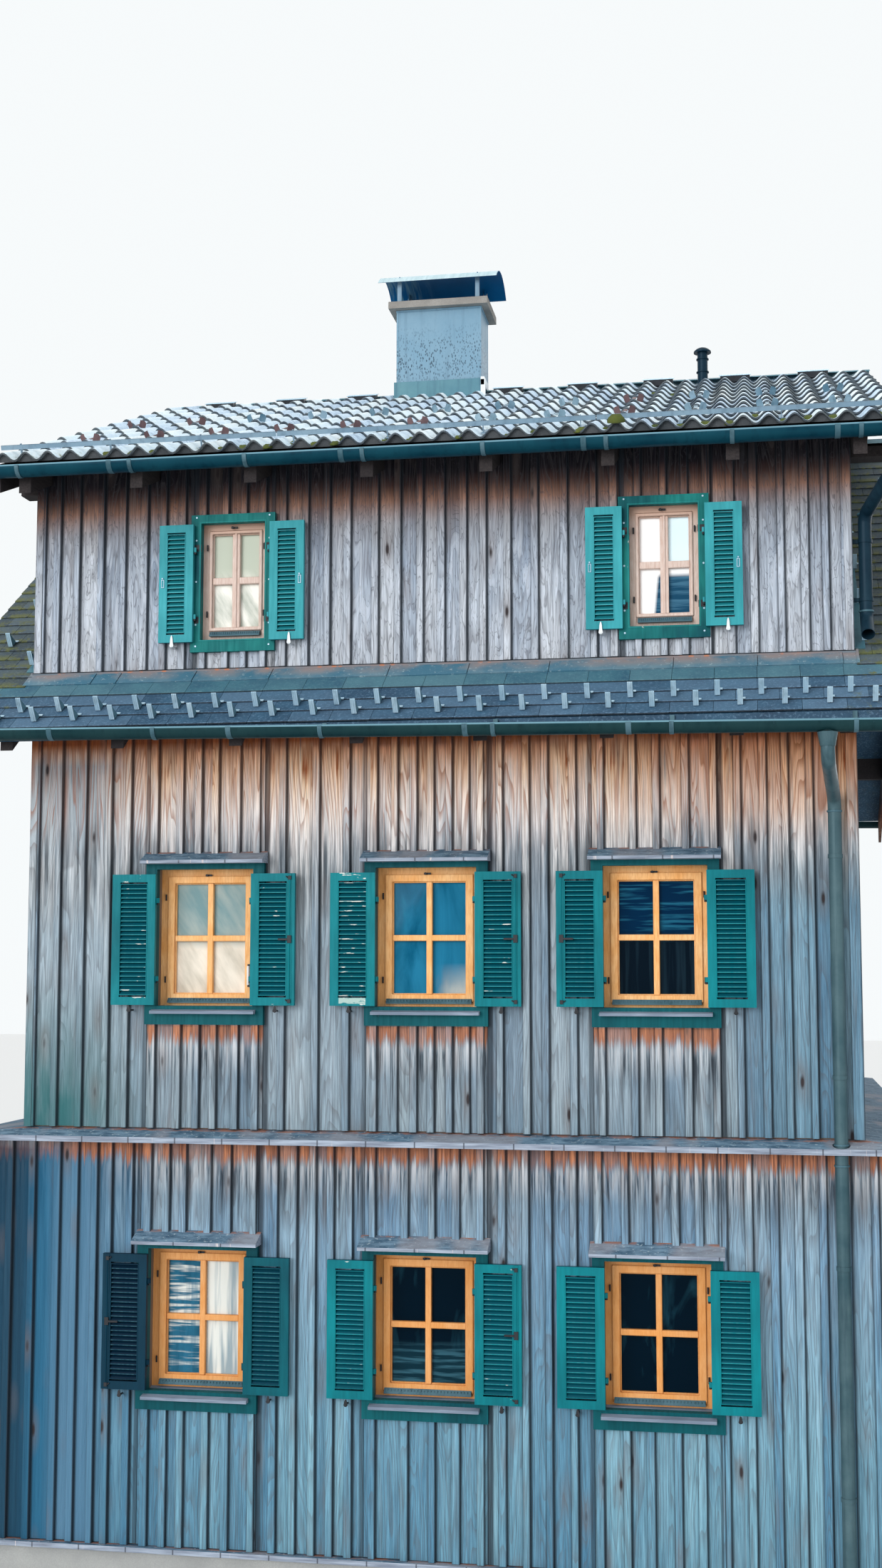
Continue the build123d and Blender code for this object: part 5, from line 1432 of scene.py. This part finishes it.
def skirt_flashing():
    """The sheet strip at the foot of the upper wall: lengths with folded joints, and an upstand behind."""
    pieces = []
    x = -FLASHING_X
    lengths = (0.463, 0.17, 0.505, 0.505, 0.76, 0.505, 0.505, 0.76, 0.505, 0.505, 0.505)
    for length in lengths:
        last = min(x + length, FLASHING_X)
        sheet = block("sheet", (0, x, 0.012), (FLASHING, last - 0.003, 0.016))
        seam = block("seam", (0.0, last - 0.02, 0.016), (FLASHING, last - 0.003, 0.02))
        fold = block("fold", (FLASHING - 0.006, x, 0.004), (FLASHING, last - 0.003, 0.017))
        pieces += [sheet, seam, fold]
        x = last
        if x >= FLASHING_X:
            break
    for piece in pieces:
        piece.data.transform(steep_place(0, 0))
    foot = LEVELS["upper"][0]
    end = FLASHING_X - 0.02
    upstand = block("upper_board_foot_front", (-end, WALL_Y - 0.046, foot - 0.037), (end, WALL_Y, foot))
    return ease_edges(join("skirt_flashing_front", pieces), 0.001), upstand


flashing, upstand = skirt_flashing()
on_both_sides(flashing, wall_flashing)
on_both_sides(upstand, foot_strip)


def side_flashing():
    """Bright strips where the steep roof meets the upper storey's side walls."""
    pieces = []
    for side in (-1, 1):
        x = side * (SIDE_X + 0.04)
        for width, top in ((0.07, 0.018), (0.006, 0.075)):
            low, high = sorted((x, x + side * width))
            pieces.append(block("side", (-SIDE_RUN, low, 0.012), (-0.01, high, top)))
    for piece in pieces:
        piece.data.transform(steep_place(0, 0))
    return join("side_flashing_front", pieces)


on_both_sides(side_flashing(), flashing_sheet)


def eave_strip():
    """The pale drip strip under the lowest shingles."""
    strip = block("eave_strip_front", (0.7765, -3.19, -0.03), (0.7795, 3.19, -0.006))
    strip.data.transform(steep_place(0, 0))
    return strip


on_both_sides(eave_strip(), dull_sheet)


def hook_plate():
    """A snow hook's ribbed plate, standing up from the end of its strap."""
    pieces = [
        block("plate", (-0.002, -0.0155, 0.0), (0.002, 0.0155, 0.1)),
        block("strap", (-0.085, -0.011, 0.0), (0.0, 0.011, 0.003)),
        block("tab", (-0.084, 0.006, 0.0), (-0.066, 0.03, 0.005)),
    ]
    for y in (-0.0125, 0.0, 0.0125):
        pieces.append(block("rib", (0.0015, y - 0.0028, 0.004), (0.0045, y + 0.0028, 0.097)))
    return join("hook", pieces)


def hook_gusset():
    """The gusset that braces a hook's plate from behind, painted dark as painted shade on its side away from
    the light.
    """
    gusset = bar("gusset", [(0.0, 0.001), (0.066, 0.001), (0.0, 0.094)], 0.0125, 0.0155)
    gusset.data.transform(Matrix.Rotation(math.radians(90), 4, "Z"))
    return gusset


hook_places = []
for down, start, count in ((0.572, -2.762, 23), (0.7, -2.63, 23)):
    for number in range(count):
        hook_places.append(steep_place(start + number * HOOK_STEP, down, lift=0.018))
for number in range(5):
    for x, down in ((2.94, -0.42), (2.68, -0.12)):
        for side in (-1, 1):
            hook_places.append(steep_place(side * x, down - number * SIDE_HOOK_STEP, lift=0.018))
# The gussets' dark paint is painted shade
for model, finish, name in (
    (hook_plate, hook_sheet, "snow_hooks"), (hook_gusset, gutter_paint, "hook_gussets"),
):
    on_both_sides(copies(f"{name}_front", model(), hook_places), finish)


# Windows

def ring(name, half, foot, head, width, back, front, easing):
    """A frame round an opening, drawn from a plane, inset and extruded forwards, its edges eased."""
    nothing_selected()
    outer = half + width
    bpy.ops.mesh.primitive_plane_add(size=1)
    piece = bpy.context.active_object
    piece.name = name
    corners = ((-outer, foot - width), (outer, foot - width), (outer, head + width), (-outer, head + width))
    flat = [(-0.5, -0.5), (0.5, -0.5), (0.5, 0.5), (-0.5, 0.5)]
    for vertex in piece.data.vertices:
        x, z = corners[flat.index((round(vertex.co.x, 1), round(vertex.co.y, 1)))]
        vertex.co = (x, back, z)
    edit(piece)
    bpy.ops.mesh.inset(thickness=width, use_even_offset=True)
    bpy.ops.mesh.delete(type="FACE")
    bpy.ops.mesh.select_all(action="SELECT")
    bpy.ops.mesh.extrude_region_move(TRANSFORM_OT_translate={"value": (0, front - back, 0)})
    done(piece)
    return ease_edges(piece, easing)


def glazing(kind):
    """One window's sash: its raised rim, the cross of glazing bars, and the small ones' meeting strip."""
    half, foot, head = kind["glass"]
    face = WALL_Y + kind["setback"]
    pane_y = face + 0.03
    upright, level_bar = kind["bars"]
    rim = kind["sash"] - half
    pieces = [ring("sash", half, foot, head, rim, face + 0.002, face - 0.012, 0.004)]
    pieces.append(ring("bead", half - 0.007, foot + 0.007, head - 0.007, 0.007, pane_y, face + 0.008, 0.002))
    middle = (foot + head) / 2
    front = face - 0.002
    pieces.append(ease_edges(
        block("upright", (-upright / 2, front, foot), (upright / 2, pane_y + 0.004, head)), 0.006, 2
    ))
    low, high = middle - level_bar / 2, middle + level_bar / 2
    level = block("level", (-half, front + 0.002, low), (half, pane_y + 0.004, high))
    pieces.append(ease_edges(level, 0.006, 2))
    if kind is SMALL:
        pieces.append(block("meeting", (-0.005, front - 0.008, foot), (0.005, front + 0.01, head)))
    return join("glazing", pieces)


def rain_strip(kind):
    """The ribbed metal strip that throws rain clear of the sash's foot."""
    foot = kind["glass"][1]
    face = WALL_Y + kind["setback"]
    width = kind["sash"] - 0.01
    outline = [
        (face + 0.004, foot - 0.022), (face - 0.013, foot - 0.026), (face - 0.036, foot - 0.052),
        (face - 0.036, foot - 0.057), (face + 0.004, foot - 0.057),
    ]
    pieces = [bar("strip", outline, -width, width)]
    ribs = 26
    for number in range(ribs + 1):
        x = -width + 0.004 + (2 * width - 0.008) * number / ribs
        low, high = (x - 0.0022, face - 0.03, foot - 0.05), (x + 0.0022, face - 0.008, foot - 0.032)
        pieces.append(block("rib", low, high))
    return join("rain_strip", pieces)


def sash_knob(kind):
    """The small dark catch at the top of a sash, and the pins of its hinges."""
    _, foot, head = kind["glass"]
    face = WALL_Y + kind["setback"]
    level = head + (kind["frame_head"] - head) * 0.55
    pieces = [rod("knob", (-0.02, face - 0.012, level), (-0.02, face - 0.026, level), 0.008, 10)]
    pieces.append(block("plate", (-0.032, face - 0.014, level - 0.006), (0.012, face - 0.01, level + 0.006)))
    for side in (-1, 1):
        for z in (foot + 0.09, head - 0.09):
            x = side * (kind["sash"] + 0.012)
            pieces.append(rod("eye", (x, face - 0.012, z - 0.02), (x, face - 0.012, z + 0.02), 0.0055))
    return ease_edges(join("catch", pieces), 0.001)


def hinge_plates(kind):
    """Iron plates on the casing that carry the shutter pins, thin where the closed leaf covers them."""
    pieces = []
    thickness, bolt_height = (0.004, 0.008) if kind is LARGE else (0.001, 0.002)
    for side in (-1, 1):
        x = side * (kind["half"] + 0.014)
        for z in (0.14, 0.66) if kind is LARGE else (0.13, 0.6):
            low, high = sorted((x - side * 0.018, x + side * 0.03))
            back = CASING_Y + 0.002
            pieces.append(block("plate", (low, CASING_Y - thickness, z - 0.022), (high, back, z + 0.022)))
            for bolt_z in (z - 0.012, z + 0.012):
                pieces.append(rod("bolt", (x, back, bolt_z), (x, CASING_Y - bolt_height, bolt_z), 0.005))
    return ease_edges(join("plates", pieces), 0.001)


def window_places(kind):
    """Matrices of the windows of one kind, at the front and mirrored at the back."""
    places = [shift(x, 0, level) for _, x, level, one in WINDOWS if one is kind]
    mirror = Matrix.Scale(-1, 4, (0, 1, 0))
    return places + [mirror @ place for place in places]


KINDS = ((LARGE, "large"), (SMALL, "small"))
for kind, size in KINDS:
    wear(copies(f"{size}_sashes", glazing(kind), window_places(kind)), window_timber)
for kind, size in KINDS:
    places = window_places(kind)
    wear(copies(f"{size}_rain_strips", rain_strip(kind), places), strap_paint)
    wear(copies(f"{size}_catches", sash_knob(kind), places), black_iron)
    wear(copies(f"{size}_hinge_plates", hinge_plates(kind), places), black_iron)


def casing_mouldings():
    """A bead on the inner edge of the small casings, and the screws of their trims."""
    beads, heads = [], []
    for _, x, level, kind in WINDOWS:
        if kind is LARGE:
            continue
        head = kind["height"] - 0.002
        faces = (CASING_Y + 0.003, CASING_Y - 0.002)
        bead = ring("bead", kind["half"] - 0.001, 0.001, head, 0.012, *faces, 0.002)
        bead.data.transform(shift(x, 0, level))
        beads.append(bead)
        for side in (-1, 1):
            for z in (-0.04, 0.1, 0.38, 0.65, 0.8):
                screw_x = x + side * (kind["half"] + 0.03)
                ends = [(screw_x, CASING_Y + out, level + z) for out in (0.002, -0.002)]
                heads.append(rod("screw", *ends, 0.006))
    return join("casing_beads_front", beads), join("casing_screws_front", heads)


beads, screws = casing_mouldings()
on_both_sides(beads, teal_bleached)
on_both_sides(screws, hook_sheet)


# Shutter fittings

# Each leaf: its name, storey, kind of window, side of it (left -1, right 1), edges, foot and head
LEAVES = []
for row in LEVELS:
    number = 1
    for storey, _, _, kind in WINDOWS:
        if storey == row:
            for side in (-1, 1):
                name = f"{row}_shutter_{number}"
                low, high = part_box(name)
                LEAVES.append((name, row, kind, side, low[0], high[0], low[2], high[2]))
                number += 1


EYE_WIDTH = 0.018
BOLT_INSET = 0.032
CATCH_INSET = 0.026
STILE_WIDTH = 0.052


def free_stile(side, left, right, inset):
    """The middle of a leaf's free stile."""
    return right - inset if side > 0 else left + inset


def panel_ends(side, left, right):
    """The ends of a leaf's panel, without the hinge eyes."""
    return (left + EYE_WIDTH, right) if side > 0 else (left, right - EYE_WIDTH)


def holder(x, level, tall):
    """A shutter holder: a tear-shaped catch on a pin that sticks out of the boards."""
    nothing_selected()
    bpy.ops.mesh.primitive_circle_add(vertices=14, radius=0.014, fill_type="NGON")
    drop = bpy.context.active_object
    for vertex in drop.data.vertices:
        across, up = vertex.co.x, vertex.co.y
        if up > 0.002:
            across *= 0.72
            up = up * tall / 0.014
        vertex.co = (across, 0, up)
    edit(drop)
    bpy.ops.mesh.extrude_region_move(TRANSFORM_OT_translate={"value": (0, -0.006, 0)})
    done(drop)
    drop.data.transform(shift(x, LEAF_FACE_Y - 0.004, level))
    pin = rod("pin", (x, WALL_Y - 0.01, level - 0.004), (x, LEAF_FACE_Y - 0.012, level - 0.004), 0.006)
    return ease_edges(join("holder", [drop, pin]), 0.001)


pale_holders, dark_holders = [], []
for _, _, kind, side, left, right, foot, _ in LEAVES:
    middle = (left + right) / 2 + side * 0.03
    if kind is SMALL:
        pale_holders.append(holder(middle, foot - 0.02, 0.066))
    else:
        dark_holders.append(holder(middle, foot - 0.03, 0.03))
for pieces, finish, name in (
    (pale_holders, lead_sheet, "upper_holders"), (dark_holders, black_iron, "lower_holders"),
):
    on_both_sides(join(f"{name}_front", pieces), finish)


def bolt_set(name, side, left, right, foot, head):
    """The black case, lever and end keepers of a shutter's bolt, on its free stile."""
    free = free_stile(side, left, right, BOLT_INSET)
    middle = (foot + head) / 2
    face, front, back = LEAF_FACE_Y, LEAF_FACE_Y - 0.011, LEAF_FACE_Y - 0.003
    pieces = [block("case", (free - 0.013, front, middle - 0.024), (free + 0.013, back, middle + 0.024))]
    low, high = sorted((free - side * 0.012, free - side * 0.072))
    pieces.append(block("lever", (low, face - 0.012, middle - 0.007), (high, face - 0.005, middle + 0.005)))
    for z in (foot + 0.028, head - 0.028):
        pieces.append(block("keeper", (free - 0.01, front, z - 0.012), (free + 0.01, back, z + 0.012)))
        start, end = (free - side * 0.012, face - 0.006, z), (free - side * 0.024, face - 0.006, z + 0.01)
        pieces.append(rod("hook", start, end, 0.004))
    return ease_edges(join(name, pieces), 0.001)


def bolt_rail(name, side, left, right, foot, head):
    """The proud strip of a free stile, with the bolt's painted rod on it."""
    free = free_stile(side, left, right, BOLT_INSET)
    low, high = sorted((free - side * 0.012, free + side * 0.012))
    front, back = LEAF_FACE_Y - 0.0035, LEAF_FACE_Y + 0.001
    strip = block("strip", (low, front, foot + 0.002), (high, back, head - 0.002))
    bolt = rod("rod", *((free, LEAF_FACE_Y - 0.005, z) for z in (foot + 0.03, head - 0.03)), 0.005, 10)
    return ease_edges(join(name, [strip, bolt]), 0.001)


# How much of the slats' noses has peeled
PEEL = {
    "middle_shutter_1": 0.07, "middle_shutter_2": 0.05, "middle_shutter_3": 0.13, "middle_shutter_4": 0.06,
    "lower_shutter_3": 0.03, "lower_shutter_4": 0.03,
}
BOLTED = ("middle_shutter_2", "middle_shutter_4", "middle_shutter_5", "lower_shutter_4", "lower_shutter_1")


def leaf_finish(name, row, side, left, right, foot, head):
    """The paint of one leaf: pale above, sound or peeling below, in painted shade at the lower left."""
    low, high = panel_ends(side, left, right)
    field = (low + 0.056, high - 0.056, foot + 0.07, head - 0.07)
    tones = TEAL_PALE if row == "upper" else TEAL
    # The two leaves at the lower left take paints in painted shade
    tones = {"lower_shutter_1": TEAL_IN_DEEP_PAINTED_SHADE, "lower_shutter_2": TEAL_IN_PAINTED_SHADE}.get(name, tones)
    rail = (foot + 0.012, foot + 0.05) if name == "middle_shutter_3" else None
    return louvred_paint(f"{name}_paint", *tones, field, PEEL.get(name, 0.0), rail)


LEAF_FINISH = {
    name: leaf_finish(name, row, side, left, right, foot, head)
    for name, row, _, side, left, right, foot, head in LEAVES
}
for name, _, kind, side, left, right, foot, head in LEAVES:
    if name in BOLTED:
        wear(bolt_set(f"{name}_bolt", side, left, right, foot, head), black_iron, body=name)
        strip = bolt_rail(f"{name}_bolt_rail", side, left, right, foot, head)
        wear(strip, LEAF_FINISH[name], body=name)
    if kind is SMALL:
        free = free_stile(side, left, right, CATCH_INSET)
        middle = (foot + head) / 2
        faces = (LEAF_FACE_Y + 0.001, LEAF_FACE_Y - 0.006)
        plate = ring(f"{name}_catch", 0.005, middle - 0.022, middle + 0.022, 0.005, *faces, 0.002)
        plate.data.transform(shift(free, 0, 0))
        start, end = (free, LEAF_FACE_Y, middle + 0.03), (free, LEAF_FACE_Y - 0.014, middle + 0.034)
        pin = rod("pin", start, end, 0.005)
        wear(join(f"{name}_catch", [plate, pin]), hook_sheet, body=name)


# The slats sit behind a thin bead
for name, _, _, side, left, right, foot, head in LEAVES:
    low, high = panel_ends(side, left, right)
    half = (high - low) / 2 - STILE_WIDTH
    faces = (LEAF_FACE_Y + 0.004, LEAF_FACE_Y - 0.0025)
    bead = ring(f"{name}_bead", half - 0.004, foot + 0.066, head - 0.066, 0.006, *faces, 0.0015)
    bead.data.transform(shift((low + high) / 2, 0, 0))
    wear(bead, LEAF_FINISH[name], body=name)


def thermometer():
    """The white thermometer tube on the right stile of the middle left window, held by two dark clips."""
    _, middle, level, _ = WINDOWS[3]
    x = middle + 0.262
    face = WALL_Y + LARGE["setback"] - 0.012
    tube = rod("tube", (x, face - 0.02, level + 0.13), (x, face - 0.02, level + 0.25), 0.009, 14)
    clips = []
    for z in (level + 0.124, level + 0.256):
        clips.append(block("clip", (x - 0.004, face - 0.026, z - 0.006), (x + 0.014, face, z + 0.006)))
    low, high = (x + 0.008, face - 0.012, level + 0.124), (x + 0.014, face - 0.002, level + 0.256)
    clips.append(block("back", low, high))
    return tube, ease_edges(join("thermometer_clips", clips), 0.001)


tube, clips = thermometer()
tube.name = "thermometer_tube"
wear(smooth(ease_edges(tube, 0.003, 2)), lead_sheet)
wear(clips, black_iron)


# Rain water goods

def gutter_collars():
    """Folded seams where the gutters' lengths meet."""
    pieces = []
    for x, (y, level, fall) in (
        *((-1.95 + 1.49 * n, UPPER_GUTTER) for n in range(4)),
        *((x, MIDDLE_GUTTER) for x in (-2.2, -1.075, 0.35, 1.3, 2.75)),
    ):
        z = level - fall * x
        outline = []
        for step in range(11):
            turn = math.pi + math.pi * step / 10
            outline.append((y + GUTTER_RADIUS * math.cos(turn), z + GUTTER_RADIUS * math.sin(turn)))
        inner = [(y + (b - y) * 0.94, z + (c - z) * 0.94) for b, c in reversed(outline)]
        pieces.append(bar("collar", outline + inner, x - 0.016, x + 0.016))
    return smooth(join("gutter_collars_front", pieces), 40)


on_both_sides(gutter_collars(), strap_paint)


def pipe_rings():
    """Swaged rings at the joints of the downpipes."""
    pieces = []
    for x, y, levels in PIPE_JOINTS:
        for level in levels:
            pieces.append(rod("ring", (x, y, level - 0.006), (x, y, level + 0.006), 0.0455, 24))
    return ease_edges(join("pipe_rings_front", pieces), 0.002)


on_both_sides(pipe_rings(), strap_paint)


# Chimney

def chimney_trims():
    """Folded seams of the stack's cladding, its base band's top edge and a rim under the slab."""
    pieces = []
    face = -STACK_DEPTH - 0.003
    for low, high in ((STACK_LEFT - 0.003, STACK_LEFT + 0.015), (STACK_RIGHT - 0.015, STACK_RIGHT + 0.003)):
        pieces.append(block("seam", (low, face, STACK_FOOT), (high, face + 0.007, STACK_TOP)))
    pieces.append(block("seam", (-0.47, face, STACK_FOOT), (-0.46, face + 0.005, STACK_FOOT + 0.01)))
    depth = STACK_DEPTH + 0.006
    for low, high in ((STACK_FOOT - 0.006, STACK_FOOT + 0.002), (STACK_TOP - 0.014, STACK_TOP + 0.002)):
        pieces.append(block("band", (STACK_LEFT - 0.006, -depth, low), (STACK_RIGHT + 0.006, depth, high)))
    return ease_edges(join("chimney_trims", pieces), 0.001)


wear(chimney_trims(), chimney_sheet)


def cowl_straps():
    """The two flat straps that carry the cowl, seen from the front and the back."""
    pieces = []
    for x in (-0.775, -0.135):
        for y in (-0.2235, 0.2195):
            pieces.append(block("strap", (x - 0.0175, y, 9.414), (x + 0.0175, y + 0.004, 9.61)))
    return ease_edges(join("cowl_straps", pieces), 0.001)


wear(cowl_straps(), dull_sheet)


def chimney_foot():
    """A pale lead corner and apron where the stack meets the tiles."""
    corner = bar("corner", [(-0.225, 8.55), (-0.225, 8.74), (-0.2, 8.75), (-0.2, 8.55)], -0.11, -0.072)
    edge = block("edge", (-0.11, -0.225, 8.69), (-0.078, 0.0, 8.76))
    return ease_edges(join("chimney_corner", [corner, edge]), 0.002)


wear(chimney_foot(), lead_sheet)


# Finishes of the carried-over pieces
FINISHES = {
    "plinth": masonry, "base_ledge": ledge_timber, "storey_ledge": ledge_timber, "drip_caps": ledge_timber,
    "main_roof_front": slate, "main_roof_back": slate, "main_ridge_caps": flashing_sheet,
    "main_barge_boards": boards, "upper_gutters": upper_gutter_paint, "middle_gutters": gutter_paint,
    "gutter_brackets": strap_paint, "upper_downpipes": upper_pipe_paint, "middle_downpipes": pipe_paint,
    "chimney_stack": chimney_sheet, "chimney_flashing": flashing_sheet, "chimney_slab": concrete,
    "chimney_cowl": cowl_sheet, "vent_pipe": upper_pipe_paint, "window_casings": teal_casing,
    "window_frames": window_timber, "window_glass": pane, "window_sills": sill_timber,
    "shutter_pintles": black_iron, "back_shutters": teal_back,
}
FINISHES.update(dict.fromkeys(
    ("main_rafters", "main_purlins", "roof_deck", "rafters", "purlins", "verge_boards", "tile_battens"),
    frame_timber,
))
FINISHES.update(dict.fromkeys(
    ("lower_floor", "middle_floor", "upper_floor", "left_wall", "right_wall"), plain_board
))
for storey in LEVELS:
    FINISHES[f"front_wall_{storey}"] = plain_board
    FINISHES[f"back_wall_{storey}"] = plain_board
FINISHES.update(LEAF_FINISH)
for name, finish in FINISHES.items():
    piece = bpy.data.objects[name]
    for slot in piece.material_slots:
        slot.material = finish


# Camera, floor and light
camera = bpy.data.objects.new("camera", bpy.data.cameras.new("camera"))
bpy.context.collection.objects.link(camera)
camera.data.lens = 41.38
camera.data.sensor_fit = "VERTICAL"
camera.data.sensor_height = 36
camera.data.sensor_width = 36
camera.data.clip_end = 500
yaw, pitch = 0.1739, 0.0968
camera.location = (2.0147, -14.1528, 4.104)
aim = Vector((-math.sin(yaw) * math.cos(pitch), math.cos(yaw) * math.cos(pitch), math.sin(pitch)))
camera.rotation_euler = aim.to_track_quat("-Z", "Y").to_euler()
bpy.context.scene.camera = camera
bpy.context.scene.view_settings.view_transform = "Standard"

nothing_selected()
bpy.ops.mesh.primitive_plane_add(size=160, location=(0, 0, 0))
floor = bpy.context.active_object
floor.name = "floor"
settle(floor)
ground = Finish("pale_floor", rough=0.95, specular=0.1)
ground.colour((0.8, 0.8, 0.79))
floor.data.materials.append(ground.material)

world = bpy.data.worlds.new("sky")
bpy.context.scene.world = world
world.use_nodes = True
sky = world.node_tree
sky.nodes.clear()
out = sky.nodes.new("ShaderNodeOutputWorld")


def backdrop(colour, strength):
    """One tone of the sky."""
    tone = sky.nodes.new("ShaderNodeBackground")
    tone.inputs["Color"].default_value = (*colour, 1)
    tone.inputs["Strength"].default_value = strength
    return tone.outputs[0]


# The sky lights the house softly, and is pale where it is seen, mirrored or seen through glass
light_path = sky.nodes.new("ShaderNodeLightPath")
share = light_path.outputs["Is Camera Ray"]
for name in ("Is Glossy Ray", "Is Transmission Ray"):
    either = sky.nodes.new("ShaderNodeMath")
    either.operation = "MAXIMUM"
    sky.links.new(share, either.inputs[0])
    sky.links.new(light_path.outputs[name], either.inputs[1])
    share = either.outputs[0]
blend = sky.nodes.new("ShaderNodeMixShader")
sky.links.new(share, blend.inputs["Fac"])
sky.links.new(backdrop((0.93, 0.97, 1.0), 0.55), blend.inputs[1])
sky.links.new(backdrop((0.93, 0.96, 0.97), 1.0), blend.inputs[2])
sky.links.new(blend.outputs[0], out.inputs["Surface"])


def lamp(name, place, aim, strength, angle, colour=(1, 1, 1)):
    """A far lamp with a soft edge."""
    light = bpy.data.objects.new(name, bpy.data.lights.new(name, "SUN"))
    light.data.energy = strength
    light.data.angle = math.radians(angle)
    light.data.color = colour
    light.location = place
    light.rotation_euler = (Vector(aim) - Vector(place)).to_track_quat("-Z", "Y").to_euler()
    bpy.context.collection.objects.link(light)


lamp("key", (-8, -17, 7.9), (0, 0, 4), 2.1, 35, (1.0, 0.985, 0.97))
lamp("high", (-3, -10, 22), (0, 0, 4), 0.8, 50)
lamp("fill", (10, -12, 7), (0, 0, 4), 0.45, 60)
lamp("rear", (6, 16, 12), (0, 0, 4), 0.9, 60)
